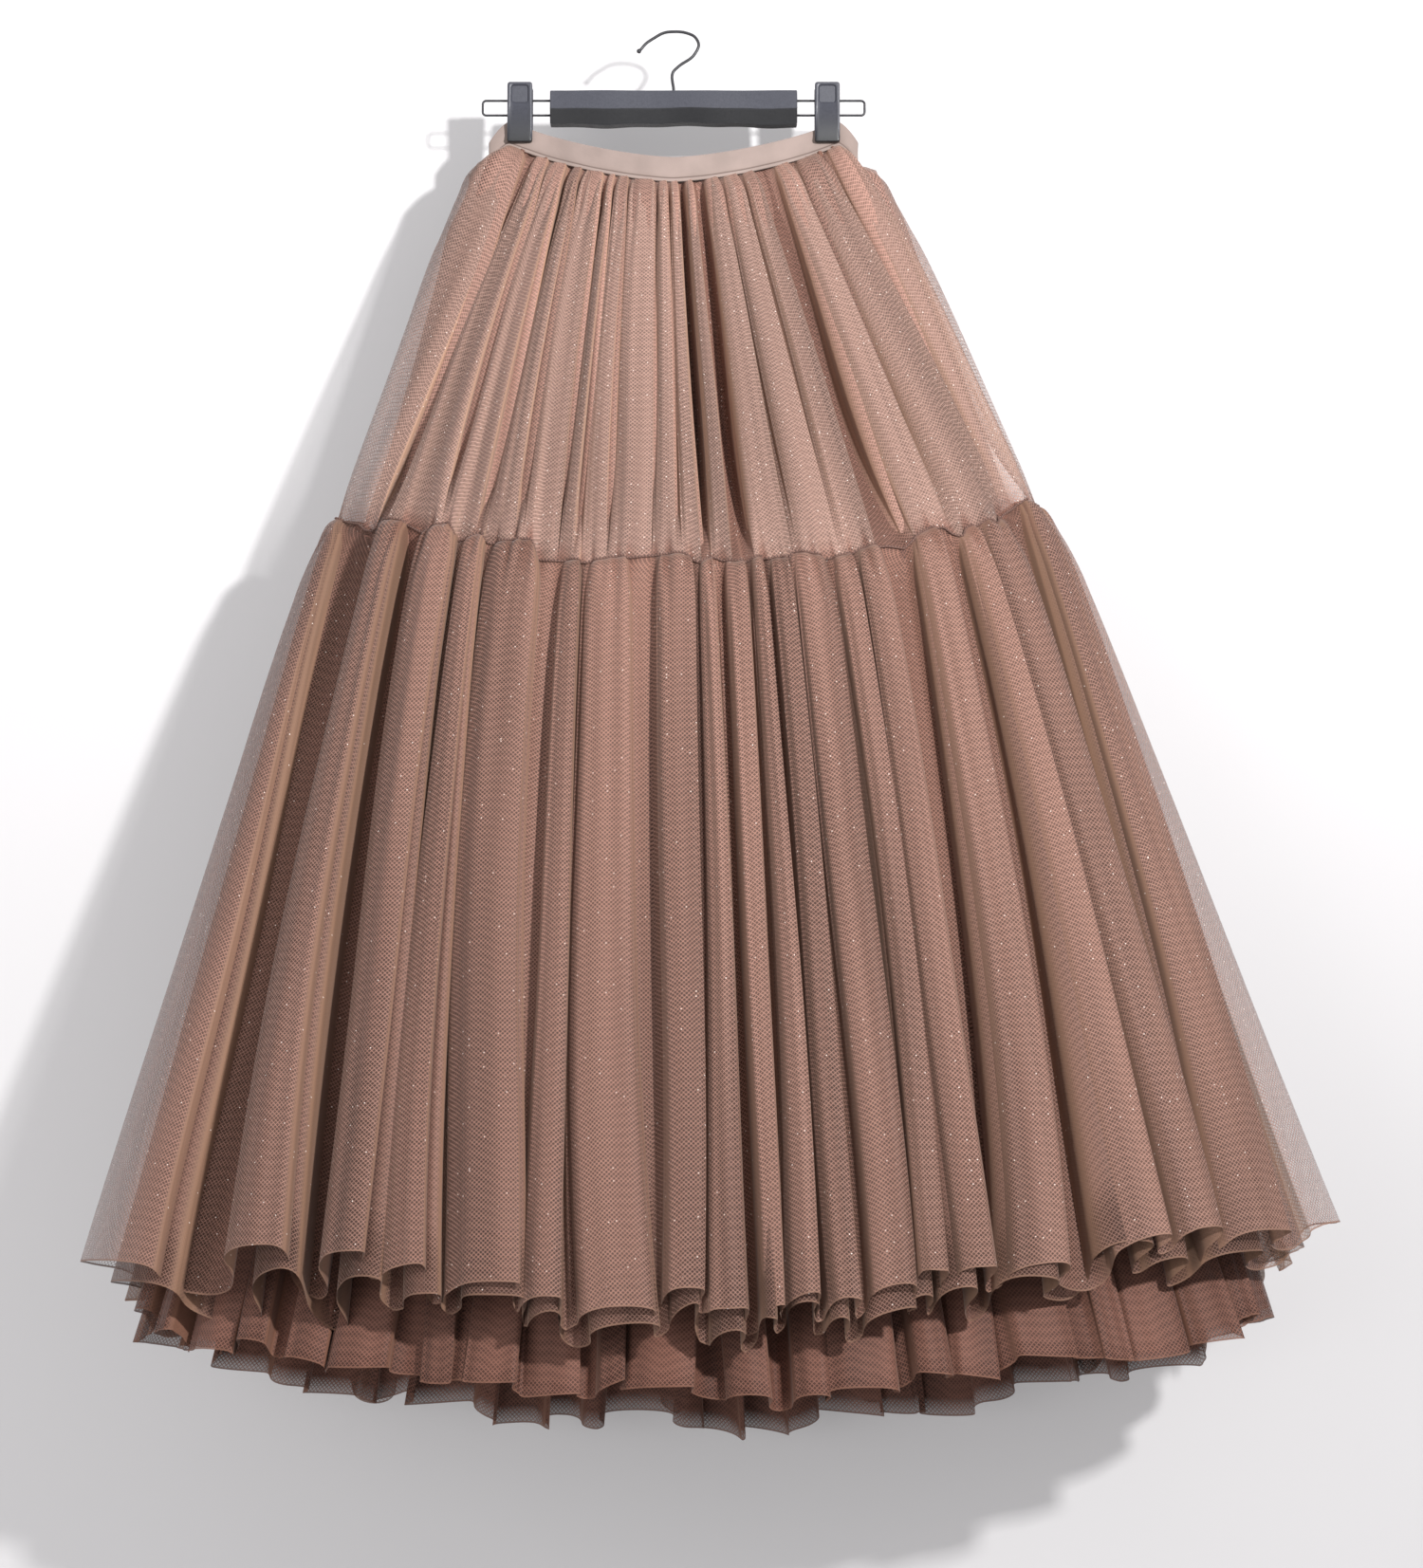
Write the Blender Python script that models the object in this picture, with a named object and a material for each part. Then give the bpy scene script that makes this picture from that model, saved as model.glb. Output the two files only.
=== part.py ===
"""Two-tier tulle maxi skirt, hanging from a clip hanger.

Metres, +Z up, the front of the skirt faces -Y and its wearer's left is at +X.
The origin is the inside of the hook's bend, where a rail or a nail carries it.

Each cloth panel is a wall between two rings. A ring is the plan of the skirt
at one height: a front half and a back half that meet at the side seams. The
folds of a panel are pressed into it from the outside: a crest lies on the
ring, and a valley lies inside it.
"""

import math
from collections import namedtuple

import bmesh
import bpy
import numpy as np

# ---------------------------------------------------------------- cloth sizes
WALL = 0.0012  # gathered tulle, several plies of net pressed together
BAND_WALL = 0.0020  # elastic in its casing
SEAM_GAP = 0.0003
FRONT, BACK = -1, 1

# A ring: where its two side seams are, how deep it is in front and behind, how
# square its corners are, and how far its middle bellies out between the clips.
Ring = namedtuple("Ring", "left right side_y front_y back_y squareness belly")
WAIST = Ring(-0.160, 0.160, 0.0, -0.0040, 0.0040, 9.0, 0.016)
SEAM = Ring(-0.285, 0.311, -0.040, -0.180, 0.060, 2.2, 0.0)
HEM = Ring(-0.474, 0.534, -0.140, -0.380, 0.080, 2.2, 0.0)
UNDER_SEAM_INSET = 0.0062
UNDER_HEM_INSET = 0.0480
BELLY_SHARE = 0.74  # of the half width: the clips hold the rest flat
BELLY_POWER = 1.5
RING_POINTS = 721
RUN_STEP = 0.002  # of a half ring: the step that gives its direction

# Heights below the hook. The band hangs in a shallow curve between the clips,
# and its ends droop outside them.
BAND_HEIGHT = 0.0220
BAND_TOP = -0.0797
BAND_SAG = 0.0360
BAND_PEAK_X = 0.142
BAND_DROOP = 0.0180
SAG_POWER = 1.6
DROOP_POWER = 1.5
BAND_COLUMNS = 32

# The middle seam and the hems: at the left side, at the right side, and in the
# middle of the front and of the back.
Height = namedtuple("Height", "left right front back")
SEAM_HEIGHT = Height(-0.439, -0.426, -0.496, -0.515)
SEAM_WAVE = 0.0022
SEAM_WAVES = 5.0
HEM_HEIGHT = Height(-1.058, -1.034, -1.097, -1.145)
UNDER_HEM_HEIGHT = Height(-1.110, -1.092, -1.156, -1.198)

# A fold: where its left edge is, as a share of the panel's width at the top and
# at the foot, how deep that edge is pressed in, and where its hem hangs if it
# has one.
Fold = namedtuple("Fold", "top foot depth hem", defaults=[None])
UPPER_FRONT_FOLDS = [
    Fold(0.000, 0.000, 0.008),
    Fold(0.060, 0.056, 0.009),
    Fold(0.128, 0.128, 0.010),
    Fold(0.171, 0.171, 0.009),
    Fold(0.220, 0.220, 0.013),
    Fold(0.259, 0.259, 0.008),
    Fold(0.323, 0.323, 0.008),
    Fold(0.349, 0.346, 0.009),
    Fold(0.385, 0.385, 0.008),
    Fold(0.454, 0.457, 0.009),
    Fold(0.487, 0.490, 0.008),
    Fold(0.518, 0.518, 0.015),
    Fold(0.554, 0.554, 0.012),
    Fold(0.582, 0.578, 0.009),
    Fold(0.626, 0.626, 0.010),
    Fold(0.676, 0.679, 0.009),
    Fold(0.719, 0.719, 0.014),
    Fold(0.766, 0.766, 0.009),
    Fold(0.818, 0.818, 0.011),
    Fold(0.895, 0.898, 0.009),
    Fold(0.952, 0.954, 0.008),
]
LOWER_FRONT_FOLDS = [
    Fold(0.000, 0.000, 0.020, -1.058),
    Fold(0.053, 0.077, 0.028, -1.062),
    Fold(0.106, 0.153, 0.044, -1.057),
    Fold(0.197, 0.237, 0.044, -1.060),
    Fold(0.250, 0.288, 0.026, -1.067),
    Fold(0.281, 0.324, 0.028, -1.081),
    Fold(0.339, 0.381, 0.028, -1.091),
    Fold(0.370, 0.413, 0.030, -1.106),
    Fold(0.433, 0.469, 0.030, -1.088),
    Fold(0.468, 0.501, 0.028, -1.097),
    Fold(0.502, 0.530, 0.020, -1.097),
    Fold(0.528, 0.549, 0.021, -1.087),
    Fold(0.555, 0.574, 0.023, -1.093),
    Fold(0.581, 0.600, 0.026, -1.082),
    Fold(0.614, 0.632, 0.022, -1.072),
    Fold(0.645, 0.655, 0.034, -1.069),
    Fold(0.680, 0.687, 0.026, -1.068),
    Fold(0.717, 0.715, 0.024, -1.054),
    Fold(0.751, 0.741, 0.032, -1.052),
    Fold(0.790, 0.772, 0.028, -1.044),
    Fold(0.831, 0.807, 0.028, -1.037),
    Fold(0.876, 0.844, 0.030, -1.047),
    Fold(0.922, 0.889, 0.026, -1.034),
    Fold(0.963, 0.944, 0.022, -1.034),
]
UPPER_BACK_COUNT, UPPER_BACK_DEPTH = 17, 0.010
LOWER_BACK_COUNT, LOWER_BACK_DEPTH = 19, 0.028
UNDER_COUNT, UNDER_DEPTH = 14, 0.024

# Folds whose own edges aren't tabled wander by slow waves: by how much, and how
# fast from one fold to the next. The sizes are shares of a fold's width or depth,
# and metres at the hem.
Wander = namedtuple("Wander", "size rate")
TOP_WANDER = Wander(0.20, 2.3)
FOOT_WANDER = Wander(0.14, 1.1)
DEPTH_WANDER = Wander(0.14, 1.7)
HEM_WANDER = Wander(0.006, 1.9)

# A level down a panel: how far down it is, how far the cloth puffs out of the
# straight line between its rings, and how much of each fold's depth it has.
Level = namedtuple("Level", "drop puff depth")
UPPER_LEVELS = [
    Level(0.00, 0.000, 0.10),
    Level(0.08, 0.002, 0.55),
    Level(0.35, 0.006, 0.95),
    Level(0.90, 0.001, 0.85),
    Level(1.00, 0.000, 0.26),
]
LOWER_LEVELS = [
    Level(0.00, 0.000, 0.10),
    Level(0.03, 0.008, 0.34),
    Level(0.12, 0.010, 0.55),
    Level(0.38, 0.008, 0.78),
    Level(0.72, 0.004, 0.94),
    Level(1.00, 0.000, 1.00),
]
UNDER_LEVELS = [
    Level(0.00, 0.000, 0.08),
    Level(0.12, -0.014, 0.45),
    Level(0.38, -0.014, 0.75),
    Level(1.00, 0.000, 1.00),
]

# How a fold rolls: steep sides and a valley narrower than its crest.
STEEPNESS = 0.80
NARROW_VALLEY = 0.55
UPPER_COLUMNS, LOWER_COLUMNS = 8, 6
GATHER_DEPTH = 0.05  # of a fold's width: the two small gathers at the band
GATHER_REACH = 0.30  # how far down the upper tier they fade out

# -------------------------------------------------------------- hanger sizes
HOOK_WIRE_RADIUS = 0.0013
# The hook's middle line, right of the hanger's centre and above the origin.
HOOK_LINE = [
    (0.0000, -0.0520),
    (0.0000, -0.0340),
    (0.0040, -0.0300),
    (0.0180, -0.0190),
    (0.0217, -0.0100),
    (0.0185, -0.0036),
    (0.0100, 0.0004),
    (0.0000, 0.0013),
    (-0.0080, 0.0004),
    (-0.0180, -0.0050),
    (-0.0240, -0.0092),
    (-0.0290, -0.0150),
]
HOOK_TIP = (-0.0305, -0.0162)
HOOK_TIP_RADIUS = 0.0021
HOOK_STEPS = 30
TIP_SEGMENTS, TIP_RINGS = 12, 8

BAR_HALF_LENGTH = 0.1070
# The sleeve's section, from its top round the front to its foot, then back.
BAR_SECTION = [
    (-0.0040, -0.0522),
    (-0.0095, -0.0545),
    (-0.0115, -0.0740),
    (-0.0060, -0.0822),
    (0.0060, -0.0822),
    (0.0115, -0.0740),
    (0.0095, -0.0545),
    (0.0040, -0.0522),
]

LOOP_WIRE_RADIUS = 0.0010
LOOP_END_X = 0.1655
LOOP_HIGH, LOOP_LOW = -0.0605, -0.0735
LOOP_CORNER = 0.0030
LOOP_STEPS = 28

CLIP_X = 0.1330
CLIP_WIDTH = 0.0216
CLIP_GAP = 0.0044  # from the middle plane to a jaw's inner face
# A jaw's side view, with how far it is from the middle plane, and its height.
JAW_OUTLINE = [
    (0.0078, -0.0465),
    (0.0112, -0.0465),
    (0.0104, -0.0700),
    (0.0084, -0.0930),
    (0.0098, -0.0950),
    (0.0098, -0.0995),
    (0.0044, -0.0995),
    (0.0044, -0.0580),
]
JAW_BEVEL = 0.0008
THUMB_REST = (0.0160, 0.0150)  # width and height
THUMB_REST_Z = -0.0560
THUMB_REST_DEPTH = 0.0009
THUMB_REST_CORNER = 0.0030
THUMB_CUTTER_DEPTH = 0.0060
BLOCK_HALF_DEPTH = CLIP_GAP - SEAM_GAP
BLOCK_HALF_WIDTH = 0.0093
BLOCK_HIGH, BLOCK_LOW = -0.0540, -0.0775
BORE_SIDES = 10
BORE_RADIUS = (LOOP_WIRE_RADIUS + SEAM_GAP) / math.cos(math.pi / BORE_SIDES)

# ---------------------------------------------------------------- mesh settings
SHARP_ANGLE = math.radians(40)
BEVEL_ANGLE = math.radians(50)
MERGE_DISTANCE = 1e-6
WIRE_BEVEL_RESOLUTION = 2
CORNER_STEPS = 4  # in each quarter turn of a wire loop
CORNER_SEGMENTS = 3  # in each rounded corner of a thumb rest


# ------------------------------------------------------------------ materials
def material(name, colour, roughness, metallic=0.0):
    made = bpy.data.materials.new(name)
    made.use_nodes = True
    made.diffuse_color = (*colour, 1.0)
    surface = made.node_tree.nodes["Principled BSDF"]
    surface.inputs["Base Color"].default_value = (*colour, 1.0)
    surface.inputs["Roughness"].default_value = roughness
    surface.inputs["Metallic"].default_value = metallic
    return made


def show(name, mesh, finish):
    """Puts a mesh into the scene as one named piece."""
    mesh.name = name
    mesh.materials.append(finish)
    mesh.shade_smooth()
    mesh.set_sharp_from_angle(angle=SHARP_ANGLE)
    piece = bpy.data.objects.new(name, mesh)
    bpy.context.scene.collection.objects.link(piece)
    return piece


def closed_mesh(name, points, faces):
    """A mesh whose faces all point out of the solid."""
    mesh = bpy.data.meshes.new(name)
    mesh.from_pydata([tuple(map(float, p)) for p in points], [], faces)
    work = bmesh.new()
    work.from_mesh(mesh)
    bmesh.ops.recalc_face_normals(work, faces=work.faces)
    work.to_mesh(mesh)
    work.free()
    return mesh


# ---------------------------------------------------------------- plan shapes
def half_ring(ring, face, share):
    """Plan points of a ring's front or back half, read at shares of its length
    from the left side seam to the right one. The half is a superellipse, with
    a rounded belly in its middle."""
    bearing = np.linspace(-math.pi / 2, math.pi / 2, RING_POINTS)
    across = np.sin(bearing)
    reach = ring.front_y if face == FRONT else ring.back_y
    flat = np.sqrt(np.clip(1 - np.abs(across) ** ring.squareness, 0, None))
    belly = np.clip(1 - (across / BELLY_SHARE) ** 2, 0, None) ** BELLY_POWER
    x = (ring.left + ring.right) / 2 + (ring.right - ring.left) / 2 * across
    y = ring.side_y + (reach - ring.side_y) * flat + face * ring.belly * belly
    length = np.concatenate([[0], np.cumsum(np.hypot(np.diff(x), np.diff(y)))])
    length /= length[-1]
    return np.interp(share, length, x), np.interp(share, length, y)


def inset(ring, by):
    return ring._replace(
        left=ring.left + by,
        right=ring.right - by,
        front_y=ring.front_y + by,
        back_y=ring.back_y - by,
    )


def band_top(x):
    """Height of the waistband's top edge: a hanging curve between the clips,
    falling away outside them."""
    inside = np.clip(np.abs(x) / BAND_PEAK_X, 0, 1)
    outside = np.clip(np.abs(x) - BAND_PEAK_X, 0, None) / (WAIST.right - BAND_PEAK_X)
    return BAND_TOP - BAND_SAG * (1 - inside**SAG_POWER) - BAND_DROOP * outside**DROOP_POWER


def band_shares():
    """Where the band's columns are: closest at its ends, where it turns back."""
    return (1 - np.cos(np.linspace(0, math.pi, BAND_COLUMNS + 1))) / 2


def band_foot(x):
    """Height of the band's foot edge, straight from column to column, so that
    the tier sewn below it follows the very same line."""
    stops, _ = half_ring(WAIST, FRONT, band_shares())
    return np.interp(x, stops, band_top(stops) - BAND_HEIGHT)


def across_ring(x, ring):
    return (2 * x - ring.left - ring.right) / (ring.right - ring.left)


def level_curve(height, ring, x, face):
    """A height that is lowest in the middle of a panel and rises by the square
    of the way out to its side seams."""
    t = np.clip(across_ring(x, ring), -1, 1)
    side = np.where(t < 0, height.left, height.right)
    middle = height.front if face == FRONT else height.back
    return middle + (side - middle) * t**2


def seam_height(x, face):
    wave = SEAM_WAVE * np.sin(SEAM_WAVES * math.pi * across_ring(x, SEAM))
    return level_curve(SEAM_HEIGHT, SEAM, x, face) + wave


# --------------------------------------------------------------- cloth panels
def wandered(wander, k, turn):
    return wander.size * math.sin(wander.rate * k + turn)


def ruled_folds(count, depth, turn, height, ring, face):
    """Folds for a panel whose own folds aren't tabled. Neighbours differ in width,
    in depth and at the hem. The first edge stays on the side seam."""
    folds = []
    for k in range(count):
        top = (k + (wandered(TOP_WANDER, k, turn) if k else 0)) / count
        foot = top + (wandered(FOOT_WANDER, k, 2 * turn) / count if k else 0)
        pressed = depth * (1 - DEPTH_WANDER.size + wandered(DEPTH_WANDER, k, turn))
        x = ring.left + (ring.right - ring.left) * (k + 0.5) / count
        hem = float(level_curve(height, ring, x, face)) + wandered(HEM_WANDER, k, turn)
        folds.append(Fold(top, foot, pressed, hem))
    return folds


# A panel: which half it is, its two rings, its folds and levels, how many columns
# each fold has, how high its top and foot edges are, and whether its folds
# divide in two at the top. An edge's height is a function of x, or the folds'.
Panel = namedtuple("Panel", "name face top foot folds levels columns head hem gathers")


def place_of(panel):
    """Columns counted in folds: place 2.5 is the crest of the third fold."""
    place = np.arange(len(panel.folds) * panel.columns + 1) / panel.columns
    k = np.minimum(place.astype(int), len(panel.folds) - 1)
    return place, k, place - k


def fold_grid(panel):
    """Outer points of a panel, by level and by column. Across, each fold rolls
    from valley to crest to valley; down, it follows the levels' table."""
    face, top, foot, folds = panel.face, panel.top, panel.foot, panel.folds
    place, k, phase = place_of(panel)
    drop, puff, pressed = (np.array(v)[:, None] for v in zip(*panel.levels))
    top_edge = np.array([f.top for f in folds] + [1.0])
    foot_edge = np.array([f.foot for f in folds] + [1.0])
    depth = np.array([f.depth for f in folds] + [folds[0].depth])

    rolled = (
        phase
        + STEEPNESS * np.sin(4 * math.pi * phase) / (4 * math.pi)
        - NARROW_VALLEY * np.sin(2 * math.pi * phase) / (2 * math.pi)
    )
    left = top_edge[k] + (foot_edge[k] - top_edge[k]) * drop
    right = top_edge[k + 1] + (foot_edge[k + 1] - top_edge[k + 1]) * drop
    share = left + (right - left) * rolled

    def plan(at):
        x0, y0 = half_ring(top, face, at)
        x1, y1 = half_ring(foot, face, at)
        return x0 + (x1 - x0) * drop, y0 + (y1 - y0) * drop

    x, y = plan(share)
    ahead = plan(np.minimum(share + RUN_STEP, 1))
    behind = plan(np.maximum(share - RUN_STEP, 0))
    run_x, run_y = ahead[0] - behind[0], ahead[1] - behind[1]
    run = np.hypot(run_x, run_y)
    in_x, in_y = face * run_y / run, -face * run_x / run

    nearest = depth[k + (phase >= 0.5)]
    valley = nearest * pressed * (1 + np.cos(2 * math.pi * phase)) / 2
    if panel.gathers:
        width = (right - left) * (top.right - top.left)
        fade = np.clip(1 - drop / GATHER_REACH, 0, 1)
        valley = valley + GATHER_DEPTH * width * fade * (1 - np.cos(4 * math.pi * phase)) / 2
    x = x + in_x * (valley - puff)
    y = y + in_y * (valley - puff)
    side_y = top.side_y + (foot.side_y - top.side_y) * drop
    y = np.where(face * (y - side_y) < 0, side_y, y)
    y[:, 0] = y[:, -1] = side_y[:, 0]

    high, low = panel.head(x[0], face), foot_height(panel, x[-1])
    return np.stack([x, y + face * SEAM_GAP / 2, high + (low - high) * drop], axis=-1)


def foot_height(panel, x):
    """The foot edge's height: the seam's curve, or a line from hem to hem."""
    if panel.hem:
        return panel.hem(x, panel.face)
    crests = np.arange(len(panel.folds)) + 0.5
    return np.interp(place_of(panel)[0], crests, [f.hem for f in panel.folds])


def inner_grid(panel, grid):
    """The grid moved into the skirt by the wall's thickness, square to the cloth.
    At the top and foot it moves level, and at the side seams square to the seam,
    so that each edge of the wall stays flush with the piece sewn to it."""
    along = np.gradient(grid, axis=1)
    down = np.gradient(grid, axis=0)
    normal = -panel.face * np.cross(along, down)
    normal[[0, -1], :, 2] = 0
    normal[:, [0, -1], 1] = 0
    inner = grid + WALL * normal / np.linalg.norm(normal, axis=-1, keepdims=True)
    seam_y = grid[:, :1, 1]
    inner[..., 1] = np.where(panel.face * (inner[..., 1] - seam_y) < 0, seam_y, inner[..., 1])
    inner[0, :, 2] = panel.head(inner[0, :, 0], panel.face)
    inner[-1, :, 2] = foot_height(panel, inner[-1, :, 0])
    return inner


def cloth_wall(panel, finish):
    """A closed wall: the outer and the inner grid, and a rim round their edge."""
    grid = fold_grid(panel)
    rows, columns, _ = grid.shape
    index = np.arange(2 * rows * columns).reshape(2, rows, columns)
    corners = [index[:, :-1, :-1], index[:, :-1, 1:], index[:, 1:, 1:], index[:, 1:, :-1]]
    faces = np.stack(corners, axis=-1).reshape(-1, 4).tolist()
    border = [index[:, 0, :-1], index[:, :-1, -1], index[:, -1, :0:-1], index[:, :0:-1, 0]]
    outer, inner = np.concatenate(border, axis=1)
    rim = [outer, np.roll(outer, -1), np.roll(inner, -1), inner]
    faces += np.stack(rim, axis=-1).tolist()
    points = np.concatenate([grid.reshape(-1, 3), inner_grid(panel, grid).reshape(-1, 3)])
    return show(panel.name, closed_mesh(panel.name, points, faces), finish)


def below_band(x, face):
    return band_foot(x) - SEAM_GAP


def above_seam(x, face):
    return seam_height(x, face) + SEAM_GAP


def below_seam(x, face):
    return seam_height(x, face) - SEAM_GAP


def tiers(net):
    """The two tiers and the under net, each with a front and a back."""
    inner_seam, inner_hem = inset(SEAM, UNDER_SEAM_INSET), inset(HEM, UNDER_HEM_INSET)
    back_upper = ruled_folds(UPPER_BACK_COUNT, UPPER_BACK_DEPTH, 0.7, SEAM_HEIGHT, SEAM, BACK)
    back_lower = ruled_folds(LOWER_BACK_COUNT, LOWER_BACK_DEPTH, 1.9, HEM_HEIGHT, HEM, BACK)
    halves = (
        ("front", FRONT, UPPER_FRONT_FOLDS, LOWER_FRONT_FOLDS),
        ("back", BACK, back_upper, back_lower),
    )
    for word, face, upper, lower in halves:
        under = ruled_folds(UNDER_COUNT, UNDER_DEPTH, 0.4, UNDER_HEM_HEIGHT, HEM, face)
        for panel in (
            Panel(f"upper_tier_{word}", face, WAIST, SEAM, upper, UPPER_LEVELS,
                  UPPER_COLUMNS, below_band, above_seam, True),
            Panel(f"lower_tier_{word}", face, SEAM, HEM, lower, LOWER_LEVELS,
                  LOWER_COLUMNS, below_seam, None, False),
            Panel(f"under_net_{word}", face, inner_seam, inner_hem, under, UNDER_LEVELS,
                  LOWER_COLUMNS, below_seam, None, False),
        ):
            cloth_wall(panel, net)


def waistband(cloth):
    """One closed band, an outer and an inner ring with a top and a foot edge."""
    share = band_shares()
    round_x, round_y = [], []
    for face, order in ((FRONT, share[:-1]), (BACK, share[:0:-1])):
        x, y = half_ring(WAIST, face, order)
        round_x.append(x)
        round_y.append(y)
    x, y = np.concatenate(round_x), np.concatenate(round_y)
    run_x, run_y = np.roll(x, -1) - np.roll(x, 1), np.roll(y, -1) - np.roll(y, 1)
    run = np.hypot(run_x, run_y)
    inner_x, inner_y = x - BAND_WALL * run_y / run, y + BAND_WALL * run_x / run
    rings = [
        (x, y, band_top(x)),
        (x, y, band_foot(x)),
        (inner_x, inner_y, band_foot(inner_x)),
        (inner_x, inner_y, band_top(inner_x)),
    ]
    points = np.concatenate([np.stack(r, axis=-1) for r in rings])
    count = len(x)
    faces = []
    for ring in range(4):
        for i in range(count):
            j, other = (i + 1) % count, (ring + 1) % 4
            a, b = ring * count, other * count
            faces.append([a + i, a + j, b + j, b + i])
    return show("waistband", closed_mesh("waistband", points, faces), cloth)


# --------------------------------------------------------------------- hanger
def wire(name, line, radius, finish, steps):
    """A round wire along a smooth line through the given points."""
    points = np.array(line, float)
    stops = np.concatenate([[0], np.cumsum(np.linalg.norm(np.diff(points, axis=0), axis=1))])
    even = np.linspace(0, stops[-1], steps)
    slope = np.gradient(points, stops, axis=0)
    k = np.clip(np.searchsorted(stops, even, side="right") - 1, 0, len(points) - 2)
    span = (stops[k + 1] - stops[k])[:, None]
    t = ((even - stops[k]) / (stops[k + 1] - stops[k]))[:, None]
    smooth = (
        (2 * t**3 - 3 * t**2 + 1) * points[k]
        + (t**3 - 2 * t**2 + t) * span * slope[k]
        + (3 * t**2 - 2 * t**3) * points[k + 1]
        + (t**3 - t**2) * span * slope[k + 1]
    )
    curve = bpy.data.curves.new(name, "CURVE")
    curve.dimensions = "3D"
    curve.bevel_depth = radius
    curve.bevel_resolution = WIRE_BEVEL_RESOLUTION
    curve.use_fill_caps = True
    spline = curve.splines.new("POLY")
    spline.points.add(len(smooth) - 1)
    for point, place in zip(spline.points, smooth):
        point.co = (*map(float, place), 1.0)
    curve.materials.append(finish)
    piece = bpy.data.objects.new(name, curve)
    bpy.context.scene.collection.objects.link(piece)
    return piece


def boolean(piece, other, operation):
    """Joins or cuts a piece with a guide that stays out of the model."""
    other.hide_render = True
    other.display_type = "WIRE"
    change = piece.modifiers.new(operation.lower(), "BOOLEAN")
    change.operation = operation
    change.object = other


def hook(steel):
    """The bent rod with the ball at its tip, joined into one body."""
    rod = wire("hook_rod", [(x, 0, z) for x, z in HOOK_LINE], HOOK_WIRE_RADIUS, steel, HOOK_STEPS)
    graph = bpy.context.evaluated_depsgraph_get()
    shaped = bpy.data.meshes.new_from_object(rod.evaluated_get(graph))
    bpy.data.objects.remove(rod)
    work = bmesh.new()
    work.from_mesh(shaped)
    bmesh.ops.remove_doubles(work, verts=work.verts, dist=MERGE_DISTANCE)
    work.to_mesh(shaped)
    work.free()
    made = show("hanger_hook", shaped, steel)
    ball = bmesh.new()
    bmesh.ops.create_uvsphere(
        ball, u_segments=TIP_SEGMENTS, v_segments=TIP_RINGS, radius=HOOK_TIP_RADIUS
    )
    bmesh.ops.translate(ball, verts=ball.verts, vec=(HOOK_TIP[0], 0, HOOK_TIP[1]))
    tip = bpy.data.meshes.new("hook_tip")
    ball.to_mesh(tip)
    ball.free()
    boolean(made, show("hook_tip", tip, steel), "UNION")


def prism(name, outline, start, end, finish, bevel=0.0):
    """An outline of (y, z) points carried along X."""
    count = len(outline)
    points = [(x, y, z) for x in (start, end) for y, z in outline]
    faces = [list(range(count)), list(range(2 * count - 1, count - 1, -1))]
    for i in range(count):
        j = (i + 1) % count
        faces.append([i, j, count + j, count + i])
    piece = show(name, closed_mesh(name, points, faces), finish)
    if bevel:
        rounding = piece.modifiers.new("rounding", "BEVEL")
        rounding.width = bevel
        rounding.segments = 1
        rounding.limit_method = "ANGLE"
        rounding.angle_limit = BEVEL_ANGLE
    return piece


def rounded_box(name, size, centre, corner, finish):
    """A box whose four edges along Y are rounded."""
    work = bmesh.new()
    bmesh.ops.create_cube(work, size=1.0)
    bmesh.ops.scale(work, vec=size, verts=work.verts)
    upright = [e for e in work.edges if abs(e.verts[0].co.y - e.verts[1].co.y) > size[1] / 2]
    bmesh.ops.bevel(
        work, geom=upright, offset=corner, segments=CORNER_SEGMENTS, affect="EDGES", profile=0.5
    )
    bmesh.ops.translate(work, vec=centre, verts=work.verts)
    mesh = bpy.data.meshes.new(name)
    work.to_mesh(mesh)
    work.free()
    return show(name, mesh, finish)


def loop_line(sign):
    """A U of wire that leaves the sleeve, turns at its outer end and returns."""
    start = BAR_HALF_LENGTH + SEAM_GAP
    corner = LOOP_END_X - LOOP_CORNER
    straight = np.linspace(start, corner, CORNER_STEPS + 1)
    turn = np.linspace(0, math.pi / 2, CORNER_STEPS + 1)[1:]
    x = np.concatenate([
        straight,
        corner + LOOP_CORNER * np.sin(turn),
        corner + LOOP_CORNER * np.cos(turn),
        straight[-2::-1],
    ])
    z = np.concatenate([
        np.full(len(straight), LOOP_HIGH),
        LOOP_HIGH - LOOP_CORNER * (1 - np.cos(turn)),
        LOOP_LOW + LOOP_CORNER * (1 - np.sin(turn)),
        np.full(len(straight) - 1, LOOP_LOW),
    ])
    return np.stack([sign * x, np.zeros(len(x)), z], axis=-1)


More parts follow.
